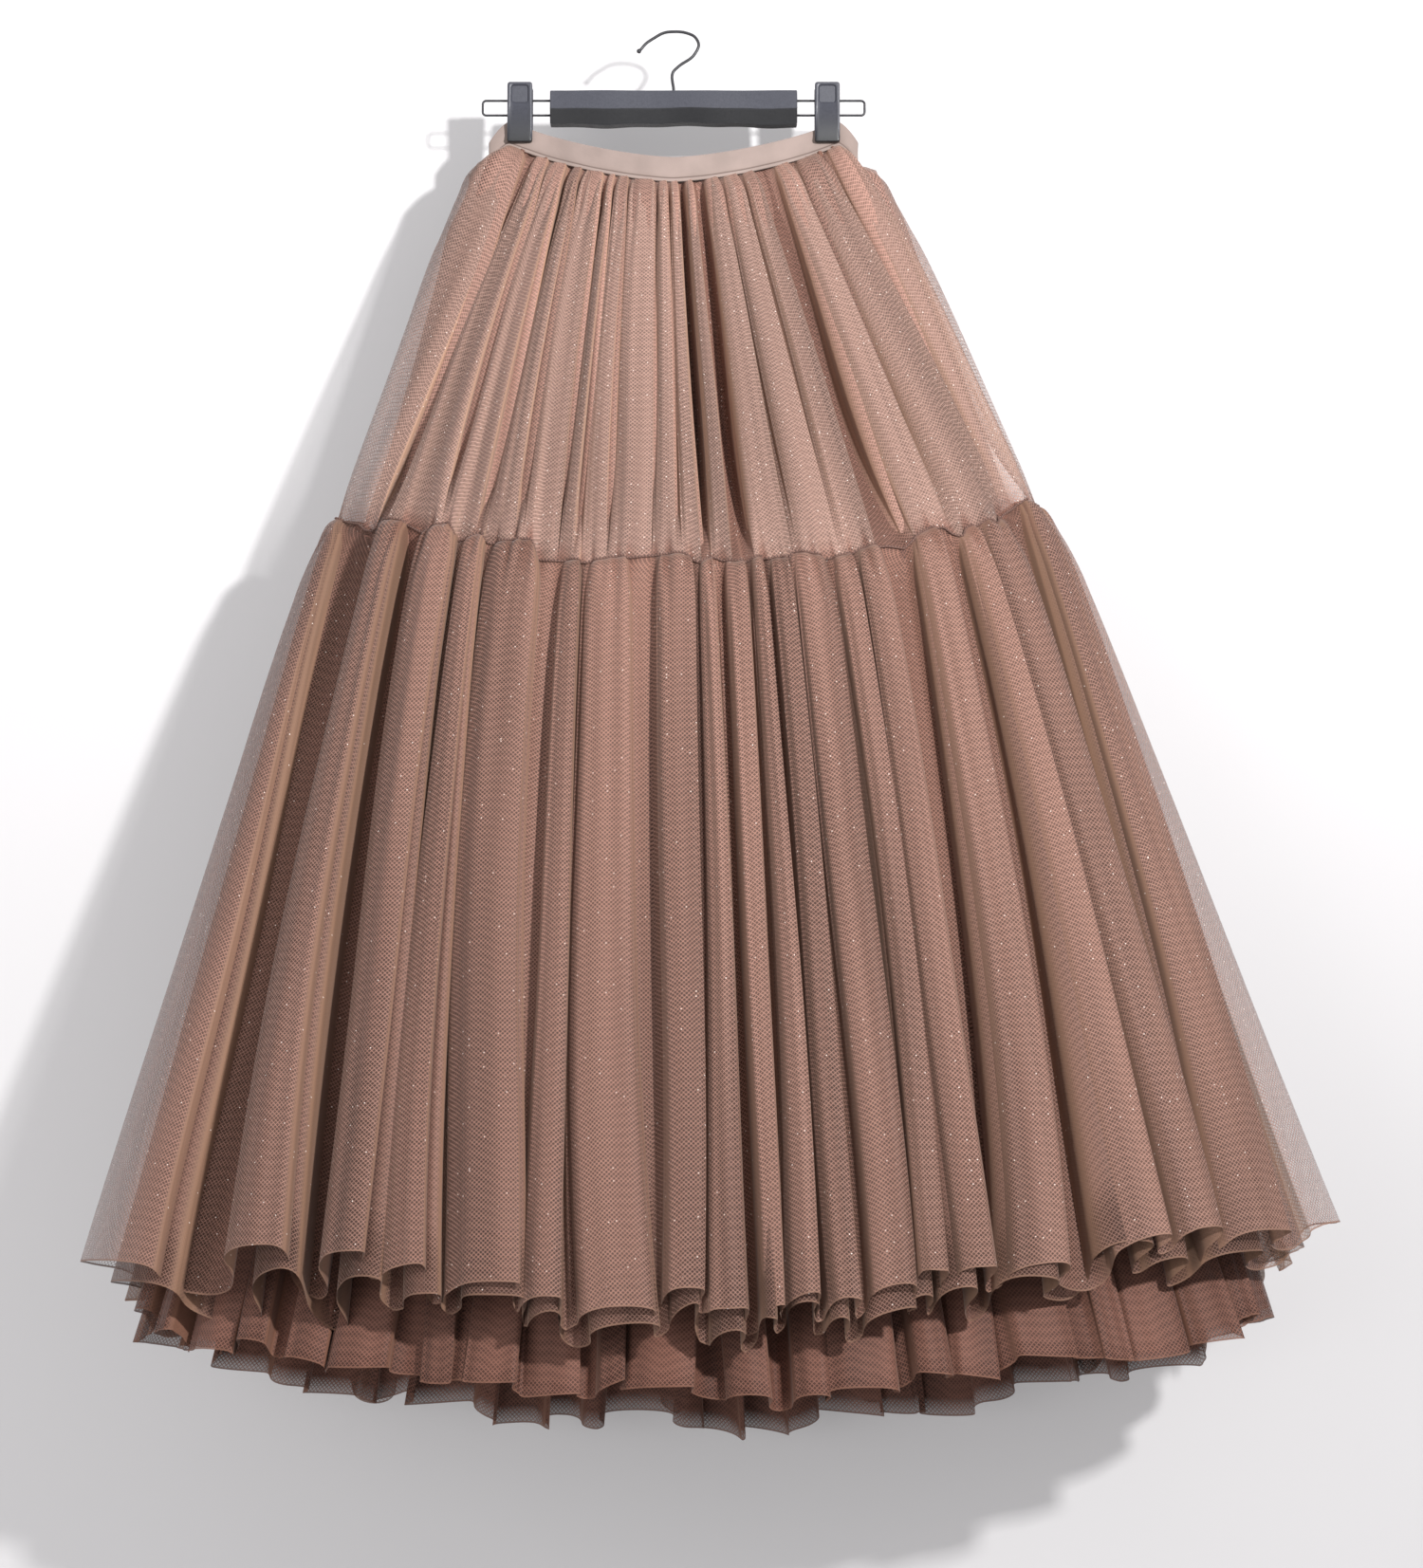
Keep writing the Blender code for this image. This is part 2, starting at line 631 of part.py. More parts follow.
def clip(word, sign, plastic):
    """A spring clip: two jaws on the band and a block that rides on the wires."""
    centre = sign * CLIP_X
    start, end = centre - CLIP_WIDTH / 2, centre + CLIP_WIDTH / 2
    for side, face in (("front", FRONT), ("back", BACK)):
        outline = [(face * y, z) for y, z in JAW_OUTLINE]
        jaw = prism(f"clip_{word}_{side}", outline, start, end, plastic, JAW_BEVEL)
        if face == FRONT:
            size = (THUMB_REST[0], THUMB_CUTTER_DEPTH, THUMB_REST[1])
            out = JAW_OUTLINE[1][0] + THUMB_CUTTER_DEPTH / 2 - THUMB_REST_DEPTH
            place = (centre, -out, THUMB_REST_Z)
            rest = rounded_box(f"thumb_{word}", size, place, THUMB_REST_CORNER, plastic)
            boolean(jaw, rest, "DIFFERENCE")
    depth = BLOCK_HALF_DEPTH
    outline = [(-depth, BLOCK_HIGH), (depth, BLOCK_HIGH), (depth, BLOCK_LOW), (-depth, BLOCK_LOW)]
    start, end = centre - BLOCK_HALF_WIDTH, centre + BLOCK_HALF_WIDTH
    block = prism(f"clip_{word}_block", outline, start, end, plastic)
    for number, height in enumerate((LOOP_HIGH, LOOP_LOW)):
        work = bmesh.new()
        bmesh.ops.create_cone(
            work,
            cap_ends=True,
            segments=BORE_SIDES,
            radius1=BORE_RADIUS,
            radius2=BORE_RADIUS,
            depth=2 * CLIP_WIDTH,
        )
        mesh = bpy.data.meshes.new(f"bore_{word}_{number}")
        work.to_mesh(mesh)
        work.free()
        bore = show(f"bore_{word}_{number}", mesh, plastic)
        bore.rotation_euler = (0, math.pi / 2, 0)
        bore.location = (centre, 0, height)
        boolean(block, bore, "DIFFERENCE")


def main():
    for old in list(bpy.data.objects):
        bpy.data.objects.remove(old)
    net = material("tulle", (0.42, 0.26, 0.19), 0.65)
    cloth = material("waistband_cloth", (0.47, 0.33, 0.26), 0.85)
    plastic = material("hanger_plastic", (0.060, 0.060, 0.075), 0.5)
    steel = material("dark_wire", (0.09, 0.09, 0.10), 0.3, 1.0)

    hook(steel)
    prism("hanger_bar", BAR_SECTION, -BAR_HALF_LENGTH, BAR_HALF_LENGTH, plastic)
    for word, sign in (("left", -1), ("right", 1)):
        wire(f"hanger_wire_{word}", loop_line(sign), LOOP_WIRE_RADIUS, steel, LOOP_STEPS)
        clip(word, sign, plastic)
    waistband(cloth)
    tiers(net)


main()
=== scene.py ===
# %% [markdown]
# # A two-tier tulle maxi skirt on a clip hanger
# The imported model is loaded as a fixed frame. Its solids say where the waist, the
# middle seam and the hems are. This lesson lays cloth over them, fold by fold, and
# gives every surface its finish. All sizes are in metres, +Z is up, the front of
# the skirt faces -Y, and the origin is the inside of the hook's bend.

# %% Load the frame
import math
from collections import namedtuple

import bmesh
import bpy
import numpy as np
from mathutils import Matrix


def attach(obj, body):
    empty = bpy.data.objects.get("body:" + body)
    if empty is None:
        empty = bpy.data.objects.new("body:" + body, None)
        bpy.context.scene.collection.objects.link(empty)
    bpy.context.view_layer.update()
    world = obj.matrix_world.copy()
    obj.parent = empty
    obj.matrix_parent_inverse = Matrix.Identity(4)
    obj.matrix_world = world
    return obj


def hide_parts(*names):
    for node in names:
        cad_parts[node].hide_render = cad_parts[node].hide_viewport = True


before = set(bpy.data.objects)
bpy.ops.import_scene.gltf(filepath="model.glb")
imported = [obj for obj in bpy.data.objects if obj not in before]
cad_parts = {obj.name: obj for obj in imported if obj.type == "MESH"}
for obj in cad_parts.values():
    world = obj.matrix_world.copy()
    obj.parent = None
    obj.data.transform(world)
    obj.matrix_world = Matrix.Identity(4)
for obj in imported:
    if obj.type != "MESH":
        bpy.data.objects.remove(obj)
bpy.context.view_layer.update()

# %% [markdown]
# ## The camera
# The picture was taken with a fairly long lens from low down, about level with the
# hem and tipped up a little. That is why the hem is seen edge on while the waist
# is seen from below. A camera object only needs a place, a turn and a lens.

# %% Camera
EYE = (0.0328, -3.5, -1.0871)
TIPPED_UP = math.radians(7.0)
LENS_MM = 95.28
lens = bpy.data.cameras.new("camera")
lens.lens = LENS_MM
camera = bpy.data.objects.new("camera", lens)
camera.location = EYE
camera.rotation_euler = (math.pi / 2 + TIPPED_UP, 0, 0)
bpy.context.scene.collection.objects.link(camera)
bpy.context.scene.camera = camera
print("camera", EYE, "lens", LENS_MM)

# %% [markdown]
# ## Rings
# A skirt is a stack of closed curves. Each ring here is a front half and a back
# half that meet at the side seams, and a place on it is one number, its turn: 0 at
# the left side seam, 1 at the right one, and on round the back to 2. Bezier circles
# could do this, but a formula gives a place and a direction at any turn at once.

# %% Rings of the skirt
FRONT, BACK = -1, 1
Ring = namedtuple("Ring", "left right side_y front_y back_y squareness belly")
WAIST = Ring(-0.160, 0.160, 0.0, -0.0040, 0.0040, 9.0, 0.016)
SEAM = Ring(-0.285, 0.311, -0.040, -0.180, 0.060, 2.2, 0.0)
HEM = Ring(-0.474, 0.534, -0.140, -0.380, 0.080, 2.2, 0.0)
BELLY_SHARE = 0.74
BELLY_POWER = 1.5
RING_POINTS = 1441


def half_ring(ring, face):
    """A superellipse, |across|^p + |flat|^p = 1 with the second power eased to a
    root, plus a rounded belly. The points are spread evenly along its length."""
    across = np.sin(np.linspace(-math.pi / 2, math.pi / 2, RING_POINTS))
    reach = ring.front_y if face == FRONT else ring.back_y
    flat = np.sqrt(np.clip(1 - np.abs(across) ** ring.squareness, 0, None))
    belly = np.clip(1 - (across / BELLY_SHARE) ** 2, 0, None) ** BELLY_POWER
    x = (ring.left + ring.right) / 2 + (ring.right - ring.left) / 2 * across
    y = ring.side_y + (reach - ring.side_y) * flat + face * ring.belly * belly
    length = np.concatenate([[0], np.cumsum(np.hypot(np.diff(x), np.diff(y)))])
    even = np.linspace(0, length[-1], RING_POINTS)
    return np.interp(even, length, x), np.interp(even, length, y)


def closed_ring(ring):
    """Front half from left to right, then the back half from right to left."""
    front, back = half_ring(ring, FRONT), half_ring(ring, BACK)
    return [np.concatenate([f, b[-2::-1]]) for f, b in zip(front, back)]


TURNS = np.linspace(0, 2, 2 * RING_POINTS - 1)
TURN_STEP = 0.003


def between_rings(top, foot, drop, turn):
    """Places on the straight loft between two rings: top + (foot - top) * drop."""
    at = np.mod(turn, 2)
    (x0, y0), (x1, y1) = closed_ring(top), closed_ring(foot)
    x0, y0, x1, y1 = (np.interp(at, TURNS, v) for v in (x0, y0, x1, y1))
    return x0 + (x1 - x0) * drop, y0 + (y1 - y0) * drop


def inward(top, foot, drop, turn):
    """The level direction into the skirt: the ring's own direction turned left."""
    ahead = between_rings(top, foot, drop, turn + TURN_STEP)
    behind = between_rings(top, foot, drop, turn - TURN_STEP)
    run_x, run_y = ahead[0] - behind[0], ahead[1] - behind[1]
    run = np.hypot(run_x, run_y)
    return -run_y / run, run_x / run


def inset(ring, by):
    """The ring with its left, right, front and back moved inward by one length."""
    return ring._replace(
        left=ring.left + by,
        right=ring.right - by,
        front_y=ring.front_y + by,
        back_y=ring.back_y - by,
    )


print("ring widths", [round(ring.right - ring.left, 3) for ring in (WAIST, SEAM, HEM)])

# %% [markdown]
# ## Heights round the skirt
# The waistband sags between the clips. The middle seam isn't level either: it is
# pulled up at the sides, and every bundle of gathers lifts or drops it by a few
# millimetres. Both curves are tables of turn and height, joined smoothly.

# %% Heights
BAND_HEIGHT = 0.0220
BAND_TOP = -0.0797
BAND_SAG = 0.0360
BAND_PEAK_X = 0.142
BAND_DROOP = 0.0180
SAG_POWER, DROOP_POWER = 1.6, 1.5
SEAM_FRONT = [
    (0.000, -0.439), (0.044, -0.442), (0.085, -0.448), (0.101, -0.458), (0.131, -0.450),
    (0.166, -0.456), (0.182, -0.462), (0.221, -0.460), (0.231, -0.474), (0.259, -0.470),
    (0.269, -0.477), (0.320, -0.477), (0.328, -0.493), (0.352, -0.494), (0.379, -0.496),
    (0.417, -0.494), (0.458, -0.491), (0.496, -0.491), (0.515, -0.498), (0.532, -0.492),
    (0.556, -0.498), (0.582, -0.493), (0.614, -0.494), (0.622, -0.487), (0.657, -0.492),
    (0.682, -0.490), (0.698, -0.484), (0.732, -0.478), (0.755, -0.479), (0.768, -0.470),
    (0.802, -0.459), (0.827, -0.468), (0.837, -0.460), (0.864, -0.451), (0.877, -0.455),
    (0.896, -0.441), (0.929, -0.428), (1.000, -0.426),
]
SEAM_BACK_MIDDLE = -0.515
SEAM_BACK_WAVE, SEAM_BACK_WAVES = 0.0040, 9.0


def band_top(x):
    """A hanging curve between the clips, which falls away outside them."""
    inside = np.clip(np.abs(x) / BAND_PEAK_X, 0, 1)
    outside = np.clip(np.abs(x) - BAND_PEAK_X, 0, None) / (WAIST.right - BAND_PEAK_X)
    return BAND_TOP - BAND_SAG * (1 - inside**SAG_POWER) - BAND_DROOP * outside**DROOP_POWER


def seam_height(turn):
    """The table in front; behind, a square curve from side to side with a wave."""
    at = np.mod(turn, 2)
    stops, heights = np.array(SEAM_FRONT).T
    front = np.interp(at, stops, heights)
    out = np.clip(2 * at - 3, -1, 1)
    side = np.where(out < 0, heights[-1], heights[0])
    wave = SEAM_BACK_WAVE * np.sin(SEAM_BACK_WAVES * math.pi * out) * (1 - out**2)
    behind = SEAM_BACK_MIDDLE + (side - SEAM_BACK_MIDDLE) * out**2 + wave
    return np.where(at <= 1, front, behind)


print("middle seam from", min(h for _, h in SEAM_FRONT), "to", max(h for _, h in SEAM_FRONT))

# %% [markdown]
# ## Fold tables
# The folds are what the eye compares, so each one in front has its own row: where
# its left and right edges are at the top and at the foot, how deep the valley to
# its left is, how high its hem hangs, and how far its sides tuck in under it. The
# folds behind can't be seen in the picture. They follow a rule with a slow wander,
# so that no two are alike.

# %% Fold tables
Fold = namedtuple(
    "Fold", "top_left top_right foot_left foot_right depth hem tuck_left tuck_right",
    defaults=[0.0, 0.10, 0.16],
)
UPPER_FRONT = [
    Fold(-0.040, 0.112, -0.035, 0.120, 0.010, 0, 0.04, 0.10),
    Fold(0.123, 0.168, 0.127, 0.208, 0.013),
    Fold(0.170, 0.217, 0.211, 0.255, 0.010),
    Fold(0.226, 0.257, 0.262, 0.302, 0.014),
    Fold(0.259, 0.320, 0.306, 0.350, 0.010),
    Fold(0.325, 0.346, 0.351, 0.371, 0.011),
    Fold(0.349, 0.384, 0.376, 0.408, 0.010),
    Fold(0.386, 0.457, 0.408, 0.460, 0.011),
    Fold(0.458, 0.486, 0.461, 0.490, 0.010),
    Fold(0.489, 0.514, 0.492, 0.516, 0.010),
    Fold(0.527, 0.553, 0.528, 0.553, 0.017),
    Fold(0.578, 0.624, 0.575, 0.622, 0.017),
    Fold(0.627, 0.677, 0.624, 0.676, 0.011),
    Fold(0.681, 0.719, 0.679, 0.722, 0.012),
    Fold(0.767, 0.817, 0.762, 0.815, 0.015),
    Fold(0.823, 0.900, 0.820, 0.898, 0.012),
    Fold(0.906, 0.968, 0.903, 0.966, 0.011),
    Fold(0.972, 1.040, 0.970, 1.035, 0.010, 0, 0.08, 0.04),
]
LOWER_FRONT = [
    Fold(-0.050, 0.058, -0.050, 0.141, 0.020, -1.060, 0.02, 0.08),
    Fold(0.126, 0.163, 0.172, 0.227, 0.040, -1.050, 0.10, 0.18),
    Fold(0.181, 0.236, 0.250, 0.287, 0.046, -1.057, 0.10, 0.22),
    Fold(0.240, 0.267, 0.293, 0.325, 0.028, -1.065, 0.10, 0.20),
    Fold(0.271, 0.335, 0.327, 0.382, 0.030, -1.079, 0.08, 0.16),
    Fold(0.357, 0.381, 0.384, 0.413, 0.024, -1.087, 0.12, 0.22),
    Fold(0.385, 0.437, 0.415, 0.467, 0.030, -1.097, 0.08, 0.14),
    Fold(0.464, 0.510, 0.471, 0.499, 0.024, -1.084, 0.14, 0.26),
    Fold(0.512, 0.531, 0.502, 0.528, 0.030, -1.097, 0.12, 0.22),
    Fold(0.541, 0.568, 0.530, 0.547, 0.034, -1.096, 0.12, 0.26),
    Fold(0.571, 0.587, 0.548, 0.572, 0.030, -1.085, 0.12, 0.24),
    Fold(0.592, 0.617, 0.573, 0.596, 0.030, -1.091, 0.12, 0.24),
    Fold(0.619, 0.661, 0.598, 0.630, 0.030, -1.080, 0.10, 0.22),
    Fold(0.665, 0.691, 0.632, 0.652, 0.030, -1.071, 0.12, 0.26),
    Fold(0.693, 0.725, 0.653, 0.680, 0.030, -1.065, 0.12, 0.24),
    Fold(0.762, 0.795, 0.689, 0.732, 0.040, -1.062, 0.12, 0.22),
    Fold(0.821, 0.846, 0.765, 0.803, 0.034, -1.043, 0.10, 0.22),
    Fold(0.849, 0.895, 0.804, 0.838, 0.030, -1.036, 0.10, 0.22),
    Fold(0.922, 0.957, 0.848, 0.903, 0.040, -1.040, 0.12, 0.16),
    Fold(0.975, 1.040, 0.935, 1.045, 0.022, -1.030, 0.06, 0.02),
]
HEM_BACK_MIDDLE = -1.145
HEM_SIDES = (-1.058, -1.034)
# Shares of a fold's width, but for the depth's, which is of its depth.
EDGE_WANDER, LEFT_GAP, RIGHT_GAP, GAP_WANDER = 0.20, 0.10, 0.06, 0.04
FOOT_WANDER, DEPTH_WANDER = 0.14, 0.20
HEM_WANDER = 0.006


def ruled_folds(count, start, stop, depth, phase, hem_middle=0, hem_sides=(0, 0)):
    """Folds from start to stop. Every edge, depth and hem is moved by a sine of its
    number, whose rates don't line up. The hem is a square curve from side to side."""
    k, edges = np.arange(count), np.arange(count + 1)
    moved = edges + EDGE_WANDER * np.sin(2.3 * edges + phase)
    edge = start + (stop - start) * moved / count
    edge[0], edge[-1] = start, stop
    width = np.diff(edge)
    left = edge[:-1] + width * (LEFT_GAP + GAP_WANDER * np.sin(1.7 * k + phase))
    right = edge[1:] - width * (RIGHT_GAP + GAP_WANDER * np.sin(2.9 * k))
    shift = width * FOOT_WANDER * np.sin(1.1 * k + 2 * phase)
    out = edge[:-1] + edge[1:] - 3
    side = np.where(out < 0, hem_sides[1], hem_sides[0])
    hem = hem_middle + (side - hem_middle) * out**2 + HEM_WANDER * np.sin(1.9 * k + phase)
    deep = depth * (1 + DEPTH_WANDER * np.sin(1.7 * k + phase))
    rows = (left, right, left + shift, right + shift, deep, hem)
    return [Fold(*map(float, row)) for row in zip(*rows)]


UPPER_FOLDS = UPPER_FRONT + ruled_folds(17, 1.05, 1.955, depth=0.011, phase=0.7)
LOWER_FOLDS = LOWER_FRONT + ruled_folds(
    19, 1.055, 1.945, 0.030, 1.9, HEM_BACK_MIDDLE, HEM_SIDES)
print(len(UPPER_FOLDS), "folds in the upper tier,", len(LOWER_FOLDS), "in the lower one")

# %% [markdown]
# ## From a fold table to a folded curve
# Round each fold runs a short polygon of control points: up out of the valley, over
# its soft left side and its front, round its crisp right edge and back under it. A
# narrow valley closes, so its floor slips under the fold before it, as in a pressed
# pleat. A cubic B-spline turns the whole closed polygon into one smooth curve, which
# may bend back under itself as real folds do. Sine waves can't do that.

# %% Smooth curves
def eased(at, stops, values):
    """Cubic Hermite curve through a table: its slopes are the table's own."""
    stops, values = np.array(stops, float), np.array(values, float)
    slope = np.gradient(values, stops)
    k = np.clip(np.searchsorted(stops, at, side="right") - 1, 0, len(stops) - 2)
    span = stops[k + 1] - stops[k]
    t = (at - stops[k]) / span
    return (
        (2 * t**3 - 3 * t**2 + 1) * values[k]
        + (t**3 - 2 * t**2 + t) * span * slope[k]
        + (3 * t**2 - 2 * t**3) * values[k + 1]
        + (t**3 - t**2) * span * slope[k + 1]
    )


def closed_spline(control, steps, period=0.0):
    """Uniform cubic B-spline of a closed row: a weighted mean of four neighbours,
    whose weights are cubics of the step between them."""
    count = control.shape[-1]
    place = np.arange(count * steps) / steps
    first = place.astype(int)
    t = place - first
    weights = (
        (1 - t) ** 3, 3 * t**3 - 6 * t**2 + 4, -3 * t**3 + 3 * t**2 + 3 * t + 1, t**3,
    )
    total = 0
    for shift, weight in enumerate(weights):
        near = first + shift - 1
        total = total + weight / 6 * (control[..., near % count] + period * (near // count))
    return total


def next_fold(values, period):
    """Each fold's right-hand neighbour's values; the last fold's is the first, a
    whole round on."""
    return np.concatenate([values[:, 1:], values[:, :1] + period], axis=1)


def blurred(row, reach):
    """Mean of a closed row under a cosine window that many columns wide each way."""
    window = 1 + np.cos(np.linspace(-math.pi, math.pi, 2 * reach + 1))
    padded = np.concatenate([row[-reach:], row, row[:reach]])
    return np.convolve(padded, window / window.sum(), mode="valid")


print("smooth curves, closed splines and blurs are ready")

# %% [markdown]
# The polygon's points are shares of the fold's own width and depth, so a broad fold
# and a narrow one get the same soft left side and the same crisp right edge. It
# could be drawn once and scaled, but then no valley could close on its own.

# %% Control points of the folds
CONTROLS = 10  # a fold
PINCH, PINCH_FADE = 0.15, 0.020  # how much narrower a fold is at its very top
OPEN_GAP = 0.018  # a valley this wide, in turns, stays open
CLOSED_DEPTH = 0.60  # of an open valley's depth
UNDERLAP = 0.13  # of the fold before, which lies over a closed valley's floor
FLOOR_SHARE = 0.30  # half of an open valley's flat floor, of its gap
SWAY_RATE, SWAY_STEP, RIGHT_SWAY = 5.1, 2.4, 0.8


def fold_controls(folds, drop, depth_share, tuck_share, wander):
    """Ten control points a fold: their turns, their depths under the ring, and the
    height of the hem there. Edges run straight from top to foot, and wander by a
    sine of the drop. A shut valley keeps a share of its depth and slips left."""
    table = np.array(folds, float).T
    top_left, top_right, foot_left, foot_right, depth, hem, tuck_left, tuck_right = table
    rows = drop[:, None]
    left = top_left + (foot_left - top_left) * rows
    right = top_right + (foot_right - top_right) * rows
    width = right - left
    number = np.arange(len(folds))
    pinch = PINCH * width * np.exp(-rows / PINCH_FADE)
    left, right = left + pinch, right - pinch
    sway = width * wander * rows * np.sin(SWAY_RATE * rows + SWAY_STEP * number)
    left, right = left + sway, right + RIGHT_SWAY * sway
    before = np.concatenate([right[:, -1:] - 2, right[:, :-1]], axis=1)
    gap = left - before
    shut = np.clip(1 - gap / OPEN_GAP, 0, 1)
    deep = depth * depth_share[:, None] * (1 - (1 - CLOSED_DEPTH) * shut)
    tuck_l = tuck_left * tuck_share[:, None] * width * (1 - shut)
    tuck_r = tuck_right * tuck_share[:, None] * width
    floor = before + 0.5 * gap * (1 - shut) - UNDERLAP * shut * np.roll(width, 1, axis=1)
    flat = FLOOR_SHARE * gap * (1 - shut)
    turns = np.stack([
        floor + flat, left + tuck_l - 0.02 * width * shut, left + 0.02 * width * shut,
        left + 0.12 * width, left + 0.34 * width, left + 0.66 * width,
        right - 0.07 * width, right + 0.01 * width, right - tuck_r,
        next_fold(floor - flat, 2),
    ], axis=-1)
    deep_after = next_fold(deep, 0)
    depths = np.stack([
        deep, (0.66 + 0.18 * shut) * deep, (0.36 + 0.26 * shut) * deep,
        (0.16 + 0.16 * shut) * deep, 0.02 * deep, -0.10 * deep, -0.09 * deep,
        0.16 * deep_after, 0.64 * deep_after, deep_after,
    ], axis=-1)
    hem_before, hem_after = np.roll(hem, 1), np.roll(hem, -1)
    hems = np.stack([
        (hem + hem_before) / 2, 0.75 * hem + 0.25 * hem_before, hem, hem, hem, hem, hem,
        hem, 0.75 * hem + 0.25 * hem_after, (hem + hem_after) / 2,
    ], axis=-1) + 0 * deep[..., None]
    shape = (len(drop), -1)
    return turns.reshape(shape), depths.reshape(shape), hems.reshape(shape)


print(CONTROLS, "control points a fold")

# %% [markdown]
# ## Small forms on the folds
# Four things keep the cloth from looking like bent sheet metal: fine gathers that
# start at a seam and die out below it, teardrop creases under the folds' heads, weak
# ridges that run the length of a fold where the net was creased, and a loose wave
# along the free edge. Displacement in a material could do this too, but the marks
# that the tulle reads, with the painted shade in the creases, are worked out from
# the same curves.

# %% Small forms
UPPER_GATHERS = [
    0.000, 0.045, 0.091, 0.129, 0.152, 0.186, 0.206, 0.242, 0.258, 0.280, 0.298, 0.328,
    0.346, 0.374, 0.406, 0.441, 0.456, 0.488, 0.506, 0.530, 0.543, 0.571, 0.584, 0.623,
    0.660, 0.679, 0.701, 0.732, 0.760, 0.781, 0.805, 0.832, 0.860, 0.892, 0.928, 0.966,
]

GATHER_POWER = 0.8
STOP_JITTER = 0.33  # of a step


def gather_wave(turn, stops):
    """0 on each gather's crest and 1 in the crease between two: 1 - |sin|^0.8."""
    at = np.mod(turn, 2)
    place = np.interp(at, stops, np.arange(len(stops)))
    return 1 - np.abs(np.sin(math.pi * place)) ** GATHER_POWER


def all_round(front):
    """A table of stops in front, repeated behind in reverse and closed."""
    front = np.array(front)
    return np.concatenate([front, [1.0], 2 - front[:0:-1], [2.0]])


def even_stops(count, seed):
    """Evenly spaced stops, each moved by up to a third of a step."""
    rng = np.random.default_rng(seed)
    stops = (np.arange(count) + rng.uniform(-STOP_JITTER, STOP_JITTER, count)) / count * 2
    stops[0] = 0
    return np.concatenate([stops, [2.0]])


CREASE_WAVES = (61, 97, 143, 211, 307)
EDGE_WAVES = (7, 13, 22, 31, 45)
WAVE_SCALE = 2.2  # five sines seldom add up to more
TUCK_DEPTH = 0.0060
TUCK_PLACES, TUCK_SPREADS = (0.18, 0.88), (0.0035, 0.0070)
TUCK_REACHES, TUCK_SHARES = (0.05, 0.16), (0.4, 1.0)
TUCK_POINT, TUCK_FADE = 0.35, 1.2  # a crease's width at its foot, and how fast it dies out
BROAD_FOLD = 0.03  # a fold this wide has one crease more


def ridges(columns, seed, waves=CREASE_WAVES):
    """Sum of sines round the cloth with seeded phases, about 1 high."""
    rng = np.random.default_rng(seed)
    place = np.linspace(0, 2 * math.pi, columns, endpoint=False)
    total = np.zeros(columns)
    for wave in waves:
        total += np.sin(wave * place + rng.uniform(0, 2 * math.pi)) / WAVE_SCALE
    return total


def head_tucks(tier, turn, down, valley):
    """Teardrop creases under a fold's head, one to three a fold. Each is a bell
    curve across the cloth that narrows and dies out down its own length."""
    rng = np.random.default_rng(tier.seed + 5)
    total = np.zeros(turn.shape)
    for fold in tier.folds:
        width = fold.top_right - fold.top_left
        for _ in range(int(tier.head_tucks * (1 + width / BROAD_FOLD))):
            place = fold.top_left + width * rng.uniform(*TUCK_PLACES)
            spread = rng.uniform(*TUCK_SPREADS)
            reach = rng.uniform(*TUCK_REACHES)
            deep = rng.uniform(*TUCK_SHARES) * TUCK_DEPTH
            left = np.clip(1 - down / reach, 0, 1)
            across = (turn - place) / (spread * (TUCK_POINT + (1 - TUCK_POINT) * left))
            total += deep * left**TUCK_FADE * np.exp(-(across**2))
    return total * (1 - valley)


print(len(UPPER_GATHERS), "gathers under the band in front")

# %% [markdown]
# ## A tier of cloth
# Every tier is the same recipe with other numbers: a top and a foot ring, folds,
# levels that say how the folds open on the way down, and the heights of its two
# edges. The result is a grid of points, rows down and columns round. Cloth could be
# simulated instead, but a simulation wouldn't put the folds where the picture has
# them.

# %% Tier surfaces
Level = namedtuple("Level", "drop puff depth")
Tier = namedtuple(
    "Tier", "top foot folds levels rows steps gathers gather_fade tuck wander seed "
    "ridge gather_depth head_tucks head_rise side_puff edge_wave hang",
    defaults=[0.0] * 7,
)


def spread_rows(count, top_power, foot_power):
    """Rows that crowd at both edges: a blend of t^p and 1 - (1 - t)^q."""
    t = np.linspace(0, 1, count)
    return (1 - t) * t**top_power + t * (1 - (1 - t) ** foot_power)


HEM_REACH, HEAD_REACH = 9, 5  # columns over which a hem and a head swing down
HEAD_ROW = 4  # the row that says where a head's valleys are
SIDE_CREASES, SIDE_REACH, SWELL_POWER = 1.5, 0.09, 0.35
TUCK_START, TUCK_POWER, CREASE_START = 0.22, 0.7, 0.1
FADE_POWER, LOOSE_POWER, SHOULDER_POWER = 1.3, 5, 0.7
CROWN_DROP, SHOULDER_DROP = 0.010, 0.025
HEM_RIPPLE, GATHER_SHADE = 0.6, 0.8


